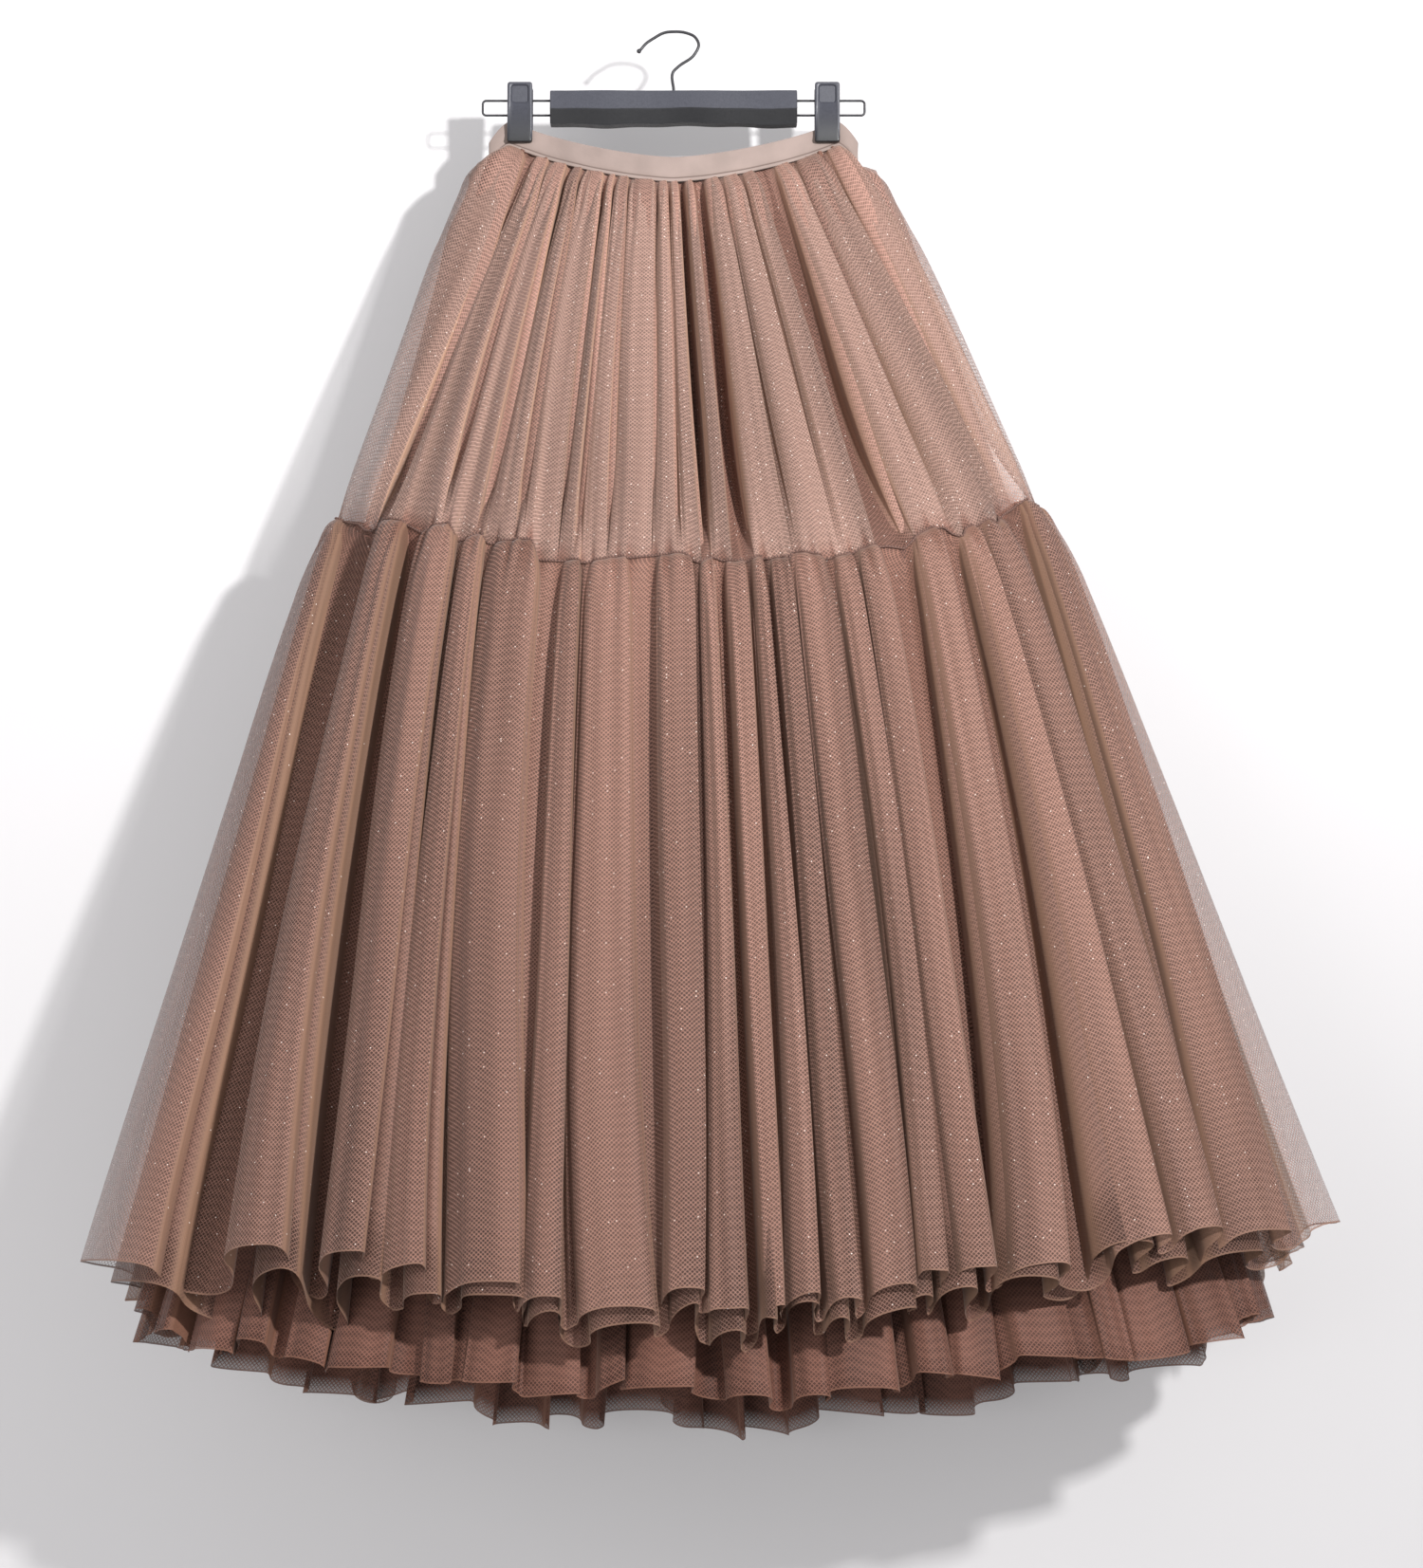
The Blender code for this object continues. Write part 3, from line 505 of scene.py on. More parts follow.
def tier_surface(tier, head):
    """Points of a tier, its painted shade in the valleys, tucks and gathers, the turns of
    its points and the inward directions. A point is the loft between the rings, moved
    inward by the fold's depth and the small forms, less the puff. Its height runs
    from the head to the hem, which sags under the valleys."""
    drop = tier.rows
    stops = [level.drop for level in tier.levels]
    puff = eased(drop, stops, [level.puff for level in tier.levels])[:, None]
    share = eased(drop, stops, [level.depth for level in tier.levels])
    tuck = tier.tuck * np.clip(drop / TUCK_START, 0, 1) ** TUCK_POWER
    turns, depths, hems = fold_controls(tier.folds, drop, share, tuck, tier.wander)
    turn = closed_spline(turns, tier.steps, 2.0)
    depth = closed_spline(depths, tier.steps)
    hem = closed_spline(hems, tier.steps)
    down = drop[:, None]
    deepest = np.max([f.depth for f in tier.folds])
    valley = np.clip(depth / np.maximum(share[:, None] * deepest, 1e-6), 0, 1)
    gathers = np.clip(1 - down / tier.gather_fade, 0, 1) ** FADE_POWER * gather_wave(
        turn, tier.gathers)
    tucks = head_tucks(tier, turn, down, valley)
    columns = turn.shape[1]
    near_side = np.exp(-((from_side_seam(turn) / SIDE_REACH) ** 2))
    creases = ridges(columns, tier.seed) * np.clip(down / CREASE_START, 0, 1)
    swell = np.sin(math.pi * down**SWELL_POWER) * near_side
    loose = ridges(columns, tier.seed + 1, EDGE_WAVES) * down**LOOSE_POWER
    depth = (
        depth + tier.gather_depth * gathers + tucks
        + tier.ridge * creases * (1 + SIDE_CREASES * near_side)
        - tier.side_puff * swell + tier.edge_wave * loose
    )
    x, y = between_rings(tier.top, tier.foot, down, turn)
    in_x, in_y = inward(tier.top, tier.foot, down, turn)
    inwards = depth - puff
    x, y = x + in_x * inwards, y + in_y * inwards
    high = head(turn[:1])
    sag = blurred(np.clip(depth[-1], 0, None), HEM_REACH)
    ripple = HEM_RIPPLE * tier.edge_wave * ridges(columns, tier.seed + 2, EDGE_WAVES)
    low = hem - tier.hang * sag + ripple
    z = high + (low - high) * down
    crown = np.exp(-(((down - CROWN_DROP) / CROWN_DROP) ** 2)) * (1 - valley)
    shoulder = np.exp(-down / SHOULDER_DROP) * blurred(
        valley[HEAD_ROW] ** SHOULDER_POWER, HEAD_REACH)
    z = z + tier.head_rise * (crown - shoulder)
    points = np.stack([x, y, z], axis=-1)
    # shade is painted shade: darker in the valleys, in the tucks under the heads and in the
    # gathers' creases
    shade = np.clip(valley + tucks / TUCK_DEPTH + GATHER_SHADE * gathers, 0, 1)
    return points, shade, turn, np.stack([in_x, in_y], axis=-1)


def from_side_seam(turn):
    """Distance in turns to the nearer side seam: |mod(turn + 1/2, 1) - 1/2|."""
    return np.abs(np.mod(turn + 0.5, 1) - 0.5)


def lengths(points, axis):
    """Running length along rows or columns, starting from 0."""
    step = np.linalg.norm(np.diff(points, axis=axis), axis=-1)
    first = np.zeros_like(np.take(step, [0], axis=axis))
    return np.concatenate([first, np.cumsum(step, axis=axis)], axis=axis)


def turned_away(points, inwards):
    """1 where the cloth runs straight into the skirt, 0 where it faces out: one
    less the dot product of the cloth's normal and the ring's."""
    normal = np.cross(np.gradient(points, axis=1), np.gradient(points, axis=0))
    normal /= np.maximum(np.linalg.norm(normal, axis=-1, keepdims=True), 1e-12)
    facing = np.abs(normal[..., 0] * inwards[..., 0] + normal[..., 1] * inwards[..., 1])
    return 1 - np.clip(facing, 0, 1)


def cut_out(grid, first, last):
    """Columns first to last of a closed grid, running on past its end."""
    count = grid.shape[1]
    pick = np.arange(first, last + 1 if last > first else last + 1 + count) % count
    return grid[:, pick]


print("a tier is worked out from", len(Tier._fields), "facts")

# %% [markdown]
# ## From a grid to a mesh
# Blender takes whole arrays with foreach_set, which is far quicker than adding
# points one by one. The UV map is measured in metres of real cloth, so the net in
# the material keeps its size wherever it goes: u runs round, v up from the hem.

# %% Mesh helpers
def grid_mesh(name, points, uv, marks, flip=False):
    """A grid of rows and columns as one mesh of four-sided faces. The UV map has
    one pair a point, or one for each of a face's four corners."""
    rows, columns = points.shape[:2]
    index = np.arange(rows * columns).reshape(rows, columns)
    corners = [index[:-1, :-1], index[1:, :-1], index[1:, 1:], index[:-1, 1:]]
    if flip:
        corners.reverse()
    faces = np.stack(corners, axis=-1).reshape(-1, 4)
    mesh = bpy.data.meshes.new(name)
    mesh.vertices.add(rows * columns)
    mesh.vertices.foreach_set("co", points.astype(np.float32).ravel())
    mesh.loops.add(faces.size)
    mesh.loops.foreach_set("vertex_index", faces.astype(np.int32).ravel())
    mesh.polygons.add(len(faces))
    mesh.polygons.foreach_set("loop_start", np.arange(0, faces.size, 4, dtype=np.int32))
    mesh.update(calc_edges=True)
    mesh.validate()
    layer = mesh.uv_layers.new(name="cloth")
    corner_uv = uv if uv.ndim == 4 else uv.reshape(-1, 2)[faces.ravel()]
    layer.uv.foreach_set("vector", corner_uv.astype(np.float32).ravel())
    for word, values in marks.items():
        mark = mesh.attributes.new(word, "FLOAT", "POINT")
        mark.data.foreach_set("value", values.astype(np.float32).ravel())
    mesh.shade_smooth()
    return mesh


def place(name, mesh, finish, slot, replaced=()):
    """Shows a mesh as a piece that rides on the one body; its slot is not used."""
    mesh.materials.clear()
    mesh.materials.append(finish)
    piece = bpy.data.objects.new(name, mesh)
    bpy.context.scene.collection.objects.link(piece)
    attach(piece, "root")
    if replaced:
        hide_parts(*replaced)
    return piece


print("mesh helpers ready")

# %% [markdown]
# ## Shader groups
# A shader node group is a recipe that several materials share. This first helper
# builds groups and materials from short lines of code. Each effect below puts out
# only masks, colours or heights, and the surface shader stays in the material.

# %% Node helpers
NOISE_RANGE = (0.3, 0.7)  # where most of a cloudy noise lies


class Nodes:
    """Short names for making and joining nodes in one tree."""

    def __init__(self, tree):
        self.tree = tree

    def add(self, kind, values=(), **settings):
        """A node with its settings, and a value or a link for each named input."""
        node = self.tree.nodes.new(kind)
        for key, value in settings.items():
            setattr(node, key, value)
        for key, value in dict(values).items():
            self.put(value, node.inputs[key])
        return node

    def put(self, value, socket):
        """Links a socket to an input, or sets the input to a number or colour."""
        if isinstance(value, bpy.types.NodeSocket):
            self.tree.links.new(value, socket)
        else:
            socket.default_value = value

    def math(self, operation, a, b=0.0, clamp=False):
        """One operation on two numbers."""
        node = self.add("ShaderNodeMath", {0: a, 1: b}, operation=operation, use_clamp=clamp)
        return node.outputs[0]

    def mix(self, share, a, b):
        """Colour a + share * (b - a)."""
        node = self.add("ShaderNodeMix", {0: share, 6: a, 7: b}, data_type="RGBA")
        return node.outputs[2]

    def blend(self, share, a, b):
        """Number a + share * (b - a)."""
        node = self.add("ShaderNodeMix", {0: share, 2: a, 3: b}, data_type="FLOAT")
        return node.outputs[0]

    def ramp(self, value, low, high, to_low=0.0, to_high=1.0):
        """A soft step: from to_low at low to to_high at high, level at both ends."""
        node = self.add(
            "ShaderNodeMapRange",
            {"Value": value, "From Min": low, "From Max": high,
             "To Min": to_low, "To Max": to_high},
            interpolation_type="SMOOTHSTEP",
        )
        return node.outputs[0]

    def noise(self, place_at, scale, detail=2.0, **values):
        """Cloudy noise around one half."""
        node = self.add("ShaderNodeTexNoise", {
            "Vector": place_at, "Scale": scale, "Detail": detail, **values})
        return node.outputs["Fac"]

    def scaled(self, colour, by):
        """A colour times a number."""
        node = self.add("ShaderNodeVectorMath", {0: colour}, operation="SCALE")
        self.put(by, node.inputs["Scale"])
        return node.outputs[0]

    def cloth_place(self):
        """The place on the unrolled piece, in metres."""
        return self.add("ShaderNodeUVMap", uv_map="cloth").outputs[0]

    def mark(self, word):
        """A number that the mesh carries at each point."""
        return self.add("ShaderNodeAttribute", attribute_name=word).outputs["Fac"]

    def surface(self, values, height=None, strength=0.0, distance=0.0):
        """A Principled surface, with a bump where a height is given."""
        shader = self.add("ShaderNodeBsdfPrincipled", values)
        if height is not None:
            bump = self.add("ShaderNodeBump", {
                "Height": height, "Strength": strength, "Distance": distance})
            self.put(bump.outputs[0], shader.inputs["Normal"])
        return shader.outputs[0]

    def show(self, shader):
        """Joins a shader to the material's output."""
        self.put(shader, self.add("ShaderNodeOutputMaterial").inputs[0])


def new_finish(name):
    """A material with an empty tree, and the helper that fills the tree."""
    finish = bpy.data.materials.new(name)
    finish.use_nodes = True
    finish.node_tree.nodes.clear()
    return finish, Nodes(finish.node_tree)


def group(name, inputs, outputs):
    """An empty group with named sockets, and its input and output nodes."""
    tree = bpy.data.node_groups.new(name, "ShaderNodeTree")
    for word, kind, value in inputs:
        socket = tree.interface.new_socket(word, in_out="INPUT", socket_type=kind)
        if value is not None:
            socket.default_value = value
    for word, kind in outputs:
        tree.interface.new_socket(word, in_out="OUTPUT", socket_type=kind)
    nodes = Nodes(tree)
    return tree, nodes, nodes.add("NodeGroupInput").outputs, nodes.add("NodeGroupOutput").inputs


FLOAT, VECTOR = "NodeSocketFloat", "NodeSocketVector"
print("node helpers ready")

# %% [markdown]
# The net of tulle is a lattice of slanting threads. Two families of lines, one
# leaning each way, are the zeros of sin(p + q) and sin(p - q). Where either sine
# is near zero there is a thread. An image of a net would blur close up, and real
# threads as geometry would need millions of faces.

# %% Net group
THREAD_CORE, THREAD_EDGE = 0.05, 1.5  # where a thread is full, and where it ends
net_tree, n, given, out = group(
    "tulle_net",
    [("Vector", VECTOR, None), ("Across", FLOAT, 0.0028), ("Down", FLOAT, 0.0022),
     ("Thread", FLOAT, 0.45)],
    [("Mask", FLOAT)],
)
parts = n.add("ShaderNodeSeparateXYZ", {0: given["Vector"]}).outputs
p = n.math("MULTIPLY", n.math("DIVIDE", parts[0], given["Across"]), math.pi)
q = n.math("MULTIPLY", n.math("DIVIDE", parts[1], given["Down"]), math.pi)
leaning_left = n.math("ABSOLUTE", n.math("SINE", n.math("ADD", p, q)))
leaning_right = n.math("ABSOLUTE", n.math("SINE", n.math("SUBTRACT", p, q)))
nearest = n.math("MINIMUM", leaning_left, leaning_right)
wide = n.math("MULTIPLY", given["Thread"], THREAD_EDGE)
n.put(n.math("SUBTRACT", 1.0, n.ramp(nearest, THREAD_CORE, wide)), out["Mask"])
print("net group", len(net_tree.nodes), "nodes")

# %% [markdown]
# Glitter is scattered in the net: some of the cells of a Voronoi pattern hold a
# tiny bright dot, a flake whose glint is painted as a pale colour. Each cell's own
# random colour says whether it is one of them.

# %% Sparkle group
GLITTER_RADIUS = 0.075  # of a cell
sparkle_tree, n, given, out = group(
    "sparkle",
    [("Vector", VECTOR, None), ("Spacing", FLOAT, 0.0060), ("Share", FLOAT, 0.25)],
    [("Mask", FLOAT)],
)
scale = n.math("DIVIDE", 1.0, given["Spacing"])
cells = n.add("ShaderNodeTexVoronoi", {"Vector": given["Vector"], "Scale": scale,
                                       "Randomness": 1.0},
              feature="F1", voronoi_dimensions="2D")
near = n.math("LESS_THAN", cells.outputs["Distance"], GLITTER_RADIUS)
chance = n.add("ShaderNodeSeparateXYZ", {0: cells.outputs["Color"]}).outputs[0]
chosen = n.math("LESS_THAN", chance, given["Share"])
n.put(n.math("MULTIPLY", near, chosen), out["Mask"])
print("sparkle group", len(sparkle_tree.nodes), "nodes")

# %% [markdown]
# ## Tulle
# Seen face on, tulle is mostly holes, and what lies behind shows through it. Where
# it turns into a fold, its threads close up and it looks solid and golden. The
# pieces carry a mark for that, worked out from their shape, so the effect stays
# with the cloth from any side. Another mark says how deep in a valley a point is,
# with the tucks and gathers, and paints shade there. The colour comes first: tints
# for face and flank, a painted shade tint for the valleys, then the threads, weak
# ripples, broad bands of shade, a light rim on each fold that is partly the net seen
# edge on and partly a painted highlight, and the glitter with its painted glint.

# %% Colour of tulle
CELL_ACROSS, CELL_DOWN = 0.0036, 0.0036
# The second pair is where the painted shade in the valleys starts and ends.
FLANK, VALLEY_SHADE_RAMP = (0.16, 0.80), (0.30, 0.90)  # marks at which a flank and a valley start and end
# A lighter rim where a fold turns away: partly the net seen edge on, partly a painted highlight.
RIM_IN, RIM_OUT = (0.50, 0.75), (0.80, 0.97)
NET_CONTRAST, THREAD_LIFT = 0.44, 0.8
RIPPLE_PITCH, RIPPLE, RIPPLE_BEND = 0.0080, 0.09, 5.0
BAND_STRETCH, BAND_ROUGHNESS = (15, 0.9, 1), 0.6
DARKEST_BAND, LIGHTEST_BAND, RIM_HIGHLIGHT = 0.80, 1.20, 0.20
HEM_LIGHT, HEM_SHARE = 1.25, 0.5
# The glitter flakes' glint, painted as a pale colour.
GLITTER_GLINT = (0.70, 0.60, 0.54, 1)


def tulle_colour(n, uv, height, mask, shine, flank_share, away, edge, tints, valley_shading, contrast):
    """The tint times a tone: the bands, plus the threads and ripples where the cloth
    faces out, plus a rim where it starts to turn away, partly the net seen edge on and
    partly a painted highlight. The tint runs to a painted valley shade where the valley
    mark is high, and the glitter's glint is painted pale."""
    face, flank, valley = tints
    facing = n.math("SUBTRACT", 1.0, flank_share)
    stretched = n.add("ShaderNodeMapping", {"Vector": uv, "Scale": BAND_STRETCH}).outputs[0]
    bands = n.add("ShaderNodeTexNoise", {
        "Vector": stretched, "Scale": 1.0, "Detail": 2.0, "Roughness": BAND_ROUGHNESS,
    }, noise_dimensions="2D").outputs["Fac"]
    tint = n.mix(flank_share, (*face, 1), (*flank, 1))
    # Painted shade: the valley mark darkens the tint towards the valley tint.
    deep = n.ramp(n.mark("valley"), *VALLEY_SHADE_RAMP)
    tint = n.mix(n.math("MULTIPLY", deep, valley_shading), tint, (*valley, 1))
    turns = n.math("ADD", n.math("DIVIDE", height, RIPPLE_PITCH),
                   n.math("MULTIPLY", bands, RIPPLE_BEND))
    ripple = n.math("MULTIPLY", n.math("SINE", n.math("MULTIPLY", turns, 2 * math.pi)), RIPPLE)
    weave = n.blend(mask, 1 - contrast, 1 + THREAD_LIFT * contrast)
    pattern = n.math("MULTIPLY", n.math("ADD", n.math("SUBTRACT", weave, 1.0), ripple), facing)
    # The rim: partly the net seen edge on, partly a painted highlight.
    rim_highlight = n.math("MULTIPLY", n.ramp(away, *RIM_IN), n.ramp(away, *RIM_OUT, RIM_HIGHLIGHT, 0.0))
    tone = n.math("ADD", n.ramp(bands, *NOISE_RANGE, DARKEST_BAND, LIGHTEST_BAND),
                  n.math("ADD", pattern, rim_highlight))
    hem_light = (*(min(1, HEM_LIGHT * c) for c in flank), 1)
    lit = n.mix(n.math("MULTIPLY", edge, HEM_SHARE), n.scaled(tint, tone), hem_light)
    return n.mix(shine, lit, GLITTER_GLINT)


print("net cells", CELL_ACROSS, "m wide")

# %% [markdown]
# How solid it is comes second. Holes and threads have a value each at the loose
# side loops and another elsewhere. Both close up on a flank, at a hem, at a glint
# and where the gathers are tight. Light passes only through the plies that need it:
# the others cast a full shadow, which keeps the render quick.

# %% How solid tulle is
TIGHT_HOLE, TIGHT_THREAD, SOLID_HEM = 0.80, 0.94, 0.85
SIDE_CLOSING, FULL_CLOSING = 0.35, 0.88
LOOSE_SIDE, OPEN_SIDE = (0.03, 0.12), (0.02, 0.10)  # turns from the side seam
ROUGHNESS, GLINT_ROUGHNESS, SHEEN, SHEEN_ROUGHNESS, GLOSS = 0.62, 0.30, 0.12, 0.45, 0.15
THREAD_BUMP, THREAD_HEIGHT = 0.25, 0.0003


def tulle_alpha(n, height, mask, shine, flank_share, edge, holes, threads, solid_above):
    """1 less the open share: open = (1 - see) * (1 - flank * closing), then at least
    the hem's and the glint's own values."""
    side, tight = n.mark("side"), n.mark("tight")
    behind = n.ramp(side, *LOOSE_SIDE)
    hole, thread = n.blend(behind, *holes), n.blend(behind, *threads)
    see = n.blend(mask, n.blend(tight, hole, TIGHT_HOLE), n.blend(tight, thread, TIGHT_THREAD))
    open_share = n.math("SUBTRACT", 1.0, see)
    closing = n.math("SUBTRACT", 1.0, n.math(
        "MULTIPLY", flank_share, n.blend(behind, SIDE_CLOSING, FULL_CLOSING)))
    alpha = n.math("SUBTRACT", 1.0, n.math("MULTIPLY", open_share, closing))
    alpha = n.math("MAXIMUM", alpha, n.math("MULTIPLY", edge, SOLID_HEM))
    alpha = n.math("MAXIMUM", alpha, shine)
    if solid_above is None:
        return alpha
    solid = n.math("MULTIPLY", n.ramp(height, *solid_above), n.ramp(side, *OPEN_SIDE))
    return n.math("ADD", alpha, solid, clamp=True)


def tulle(name, tints, holes, threads, valley_shading=0.35, glitter=0.04, contrast=NET_CONTRAST,
          solid_above=None, free_edge=0.0016, sees_light=True):
    """Tulle of one tier. tints are for face, flank and the painted shade in the valleys;
    holes and threads are how solid each is at the side loops and elsewhere. A net
    that other nets hide is solid above a height over its hem."""
    finish, n = new_finish(name)
    finish.use_transparent_shadow = sees_light
    uv, away = n.cloth_place(), n.mark("away")
    net = n.add("ShaderNodeGroup", node_tree=net_tree)
    for word, value in (("Vector", uv), ("Across", CELL_ACROSS), ("Down", CELL_DOWN)):
        n.put(value, net.inputs[word])
    glint = n.add("ShaderNodeGroup", node_tree=sparkle_tree)
    for word, value in (("Vector", uv), ("Share", glitter)):
        n.put(value, glint.inputs[word])
    mask, shine = net.outputs["Mask"], glint.outputs["Mask"]
    height = n.add("ShaderNodeSeparateXYZ", {0: uv}).outputs[1]
    flank_share = n.ramp(away, *FLANK)
    edge = n.math("LESS_THAN", height, free_edge)
    colour = tulle_colour(n, uv, height, mask, shine, flank_share, away, edge, tints, valley_shading,
                          contrast)
    alpha = tulle_alpha(n, height, mask, shine, flank_share, edge, holes, threads, solid_above)
    n.show(n.surface({
        "Base Color": colour, "Roughness": n.blend(shine, ROUGHNESS, GLINT_ROUGHNESS),
        "Alpha": alpha, "Sheen Weight": SHEEN, "Sheen Roughness": SHEEN_ROUGHNESS,
        "Specular IOR Level": GLOSS}, mask, THREAD_BUMP, THREAD_HEIGHT))
    return finish


# The third tint of each tulle is the painted shade in its valleys.
upper_tulle = tulle(
    "upper_tulle", [(0.262, 0.163, 0.132), (0.275, 0.167, 0.116), (0.17, 0.075, 0.054)],
    holes=(0.13, 0.50), threads=(0.72, 0.85), free_edge=-1.0, valley_shading=0.72, glitter=0.14,
    contrast=0.26)
# The plies and the under net have darker tints than the outer nets: partly their own colour,
# partly painted shade of the layers they hide.
upper_ply_tulle = tulle(
    "upper_ply_tulle", [(0.25, 0.142, 0.112), (0.27, 0.155, 0.105), (0.12, 0.050, 0.036)],
    holes=(0.40, 0.70), threads=(0.88, 0.92), solid_above=(-0.02, -0.01), free_edge=-1.0,
    sees_light=False, glitter=0.0)
lower_tulle = tulle(
    "lower_tulle", [(0.218, 0.120, 0.093), (0.178, 0.100, 0.068), (0.140, 0.064, 0.045)],
    holes=(0.12, 0.55), threads=(0.64, 0.88), valley_shading=0.60, glitter=0.06)
lower_ply_tulle = tulle(
    "lower_ply_tulle", [(0.158, 0.085, 0.065), (0.165, 0.092, 0.060), (0.10, 0.038, 0.027)],
    holes=(0.38, 0.38), threads=(0.86, 0.86), solid_above=(0.02, 0.09), sees_light=False,
    glitter=0.02)
under_tulle = tulle(
    "under_tulle", [(0.134, 0.061, 0.044), (0.146, 0.069, 0.045), (0.088, 0.034, 0.023)],
    holes=(0.60, 0.60), threads=(0.92, 0.92), solid_above=(0.0, 0.035), sees_light=False,
    glitter=0.0)
print("five kinds of tulle")

# %% [markdown]
# ## The lower tier
# It is cut from a long strip, gathered onto the middle seam. Its folds start as
# round puffed heads, open on the way down, and end in a hem that hangs lower in
# the valleys than on the crests.

# %% Lower tier
SEAM_STOPS = even_stops(96, 5)
lower = Tier(
    top=SEAM, foot=HEM, folds=LOWER_FOLDS,
    levels=[
        Level(0, 0, 0.14), Level(0.012, 0.006, 0.34), Level(0.04, 0.0090, 0.52),
        Level(0.12, 0.010, 0.64), Level(0.38, 0.008, 0.78), Level(0.72, 0.004, 0.94),
        Level(1, 0, 1.0),
    ],
    rows=spread_rows(64, 1.9, 1.15), steps=6, gathers=SEAM_STOPS, gather_fade=0.10,
    gather_depth=0.0020, head_tucks=1.0, head_rise=0.0032, tuck=1.0, ridge=0.0009,
    edge_wave=0.0030, wander=0.10, hang=0.95, seed=11,
)
lower_surface = tier_surface(lower, seam_height)
lower_points, lower_valley_shade, lower_turn, lower_in = lower_surface
print("lower tier grid", lower_points.shape)

# %% [markdown]
# A closed tier is cut at its side seams, as the real panels are. The map of its cloth
# is worked out fold by fold. Unwrapping in Blender would stretch the net where the
# cloth is deep.

# %% Panels of a tier
def cloth_uv(closed, up, steps):
    """A pair for each corner of each face. u is the running length round the row,
    counted from the middle of the face's own fold, so that the net keeps its size
    at every height, and the jump between two folds' counts has no width."""
    every = lengths(closed, 1)
    fold = np.arange(closed.shape[1] - 1) // (CONTROLS * steps)
    middle = ((fold + 0.5) * CONTROLS * steps).astype(int)
    base = every[-1:, middle] - every[:, middle]
    left, right = every[:, :-1] + base, every[:, 1:] + base
    up = np.concatenate([up, up[:, :1]], axis=1)
    u = np.stack([left[:-1], left[1:], right[1:], right[:-1]], axis=-1)
    v = np.stack([up[:-1, :-1], up[1:, :-1], up[1:, 1:], up[:-1, 1:]], axis=-1)
    return np.stack([u, v], axis=-1)


def show_tier(word, tier, surface, finish, stands_for=None):
    """Shows the front and back halves of a tier. A mark says how tight the cloth is
    gathered at a height: 1 - length round / greatest length round."""
    points, valley, turn, inwards = surface
    closed = np.concatenate([points, points[:, :1]], axis=1)
    round_it = lengths(closed, 1)[:, -1:]
    up = lengths(points, 0)
    up = up[-1:] - up
    uv = cloth_uv(closed, up, tier.steps)
    marks = {
        # the painted shade of the valleys, tucks and gathers, which darkens the tulle
        "valley": valley,
        "away": turned_away(points, inwards),
        "tight": np.broadcast_to(1 - round_it / round_it.max(), valley.shape),
        "side": from_side_seam(turn),
    }
    middle = np.mod(turn[len(turn) // 2], 2)
    at_left = int(np.argmin(np.minimum(middle, 2 - middle)))
    at_right = int(np.argmin(np.abs(middle - 1)))
    for half, first, last in (("front", at_left, at_right), ("back", at_right, at_left)):
        name = f"{word}_{half}"
        part = cut_out(points, first, last)
        mesh = grid_mesh(name, part, cut_out(uv, first, last)[:, :-1], {
            key: cut_out(values, first, last) for key, values in marks.items()})
        piece = place(name, mesh, finish, "tulle", [stands_for + half] if stands_for else ())


show_tier("lower", lower, lower_surface, lower_tulle, "lower_tier_")

# %% [markdown]
# ## The lower tier's second ply
# The tier is made of two layers of net. The inner one is a little fuller and hangs
# a little lower, so its edge shows below the outer hem in a second row of curls.

# %% Second ply
PLY_TOP, PLY_FOOT, PLY_SIDE = 0.003, 0.006, 0.026  # how far it lies inside
PLY_LOWER, PLY_RAGGED, PLY_FULLER, PLY_SHIFT = 0.006, 0.014, 0.2, 0.006
PLY_HEAD = 0.001
rng = np.random.default_rng(21)
ply_folds = [
    f._replace(
        hem=f.hem - PLY_LOWER - PLY_RAGGED * rng.random(),
        depth=f.depth * (1.0 + PLY_FULLER * rng.random()),
        foot_left=f.foot_left + PLY_SHIFT * rng.uniform(-1, 1),
        foot_right=f.foot_right + PLY_SHIFT * rng.uniform(-1, 1),
    )
    for f in LOWER_FOLDS
]
lower_ply = lower._replace(
    top=inset(SEAM, PLY_TOP),
    foot=inset(HEM, PLY_FOOT)._replace(left=HEM.left + PLY_SIDE, right=HEM.right - PLY_SIDE),
    folds=ply_folds, rows=spread_rows(40, 1.6, 1.1), steps=4, head_tucks=0.0,
    head_rise=0.0, edge_wave=0.0050, ridge=0.0006, seed=31,
)
show_tier("lower_ply", lower_ply, tier_surface(lower_ply, lambda t: seam_height(t) - PLY_HEAD),
          lower_ply_tulle)

# %% [markdown]
# ## The under net
# A plainer skirt of net hangs inside from the same seam and holds the tier out. It
# is longer than the tier, and its lower edge shows all round below the hem in many
# narrow pleats. Only that edge is seen, so its folds follow a rule, in front too.

# %% Under net
UNDER_TOP, UNDER_FOOT, UNDER_HEAD = 0.0062, 0.0480, 0.002
FRONT_LOW, LEFT_LIFT, RIGHT_LIFT, FRONT_RAGGED = -1.156, 0.046, 0.064, 0.008
BACK_LOW, BACK_SIDES = -1.196, (-1.110, -1.092)


def under_front_hem(fold):
    """A square curve up from the middle to each side, and a random step."""
    out = 2 * fold.top_left - 1
    lift = LEFT_LIFT if out < 0 else RIGHT_LIFT
    return FRONT_LOW + lift * out**2 + FRONT_RAGGED * rng.uniform(-1, 1)


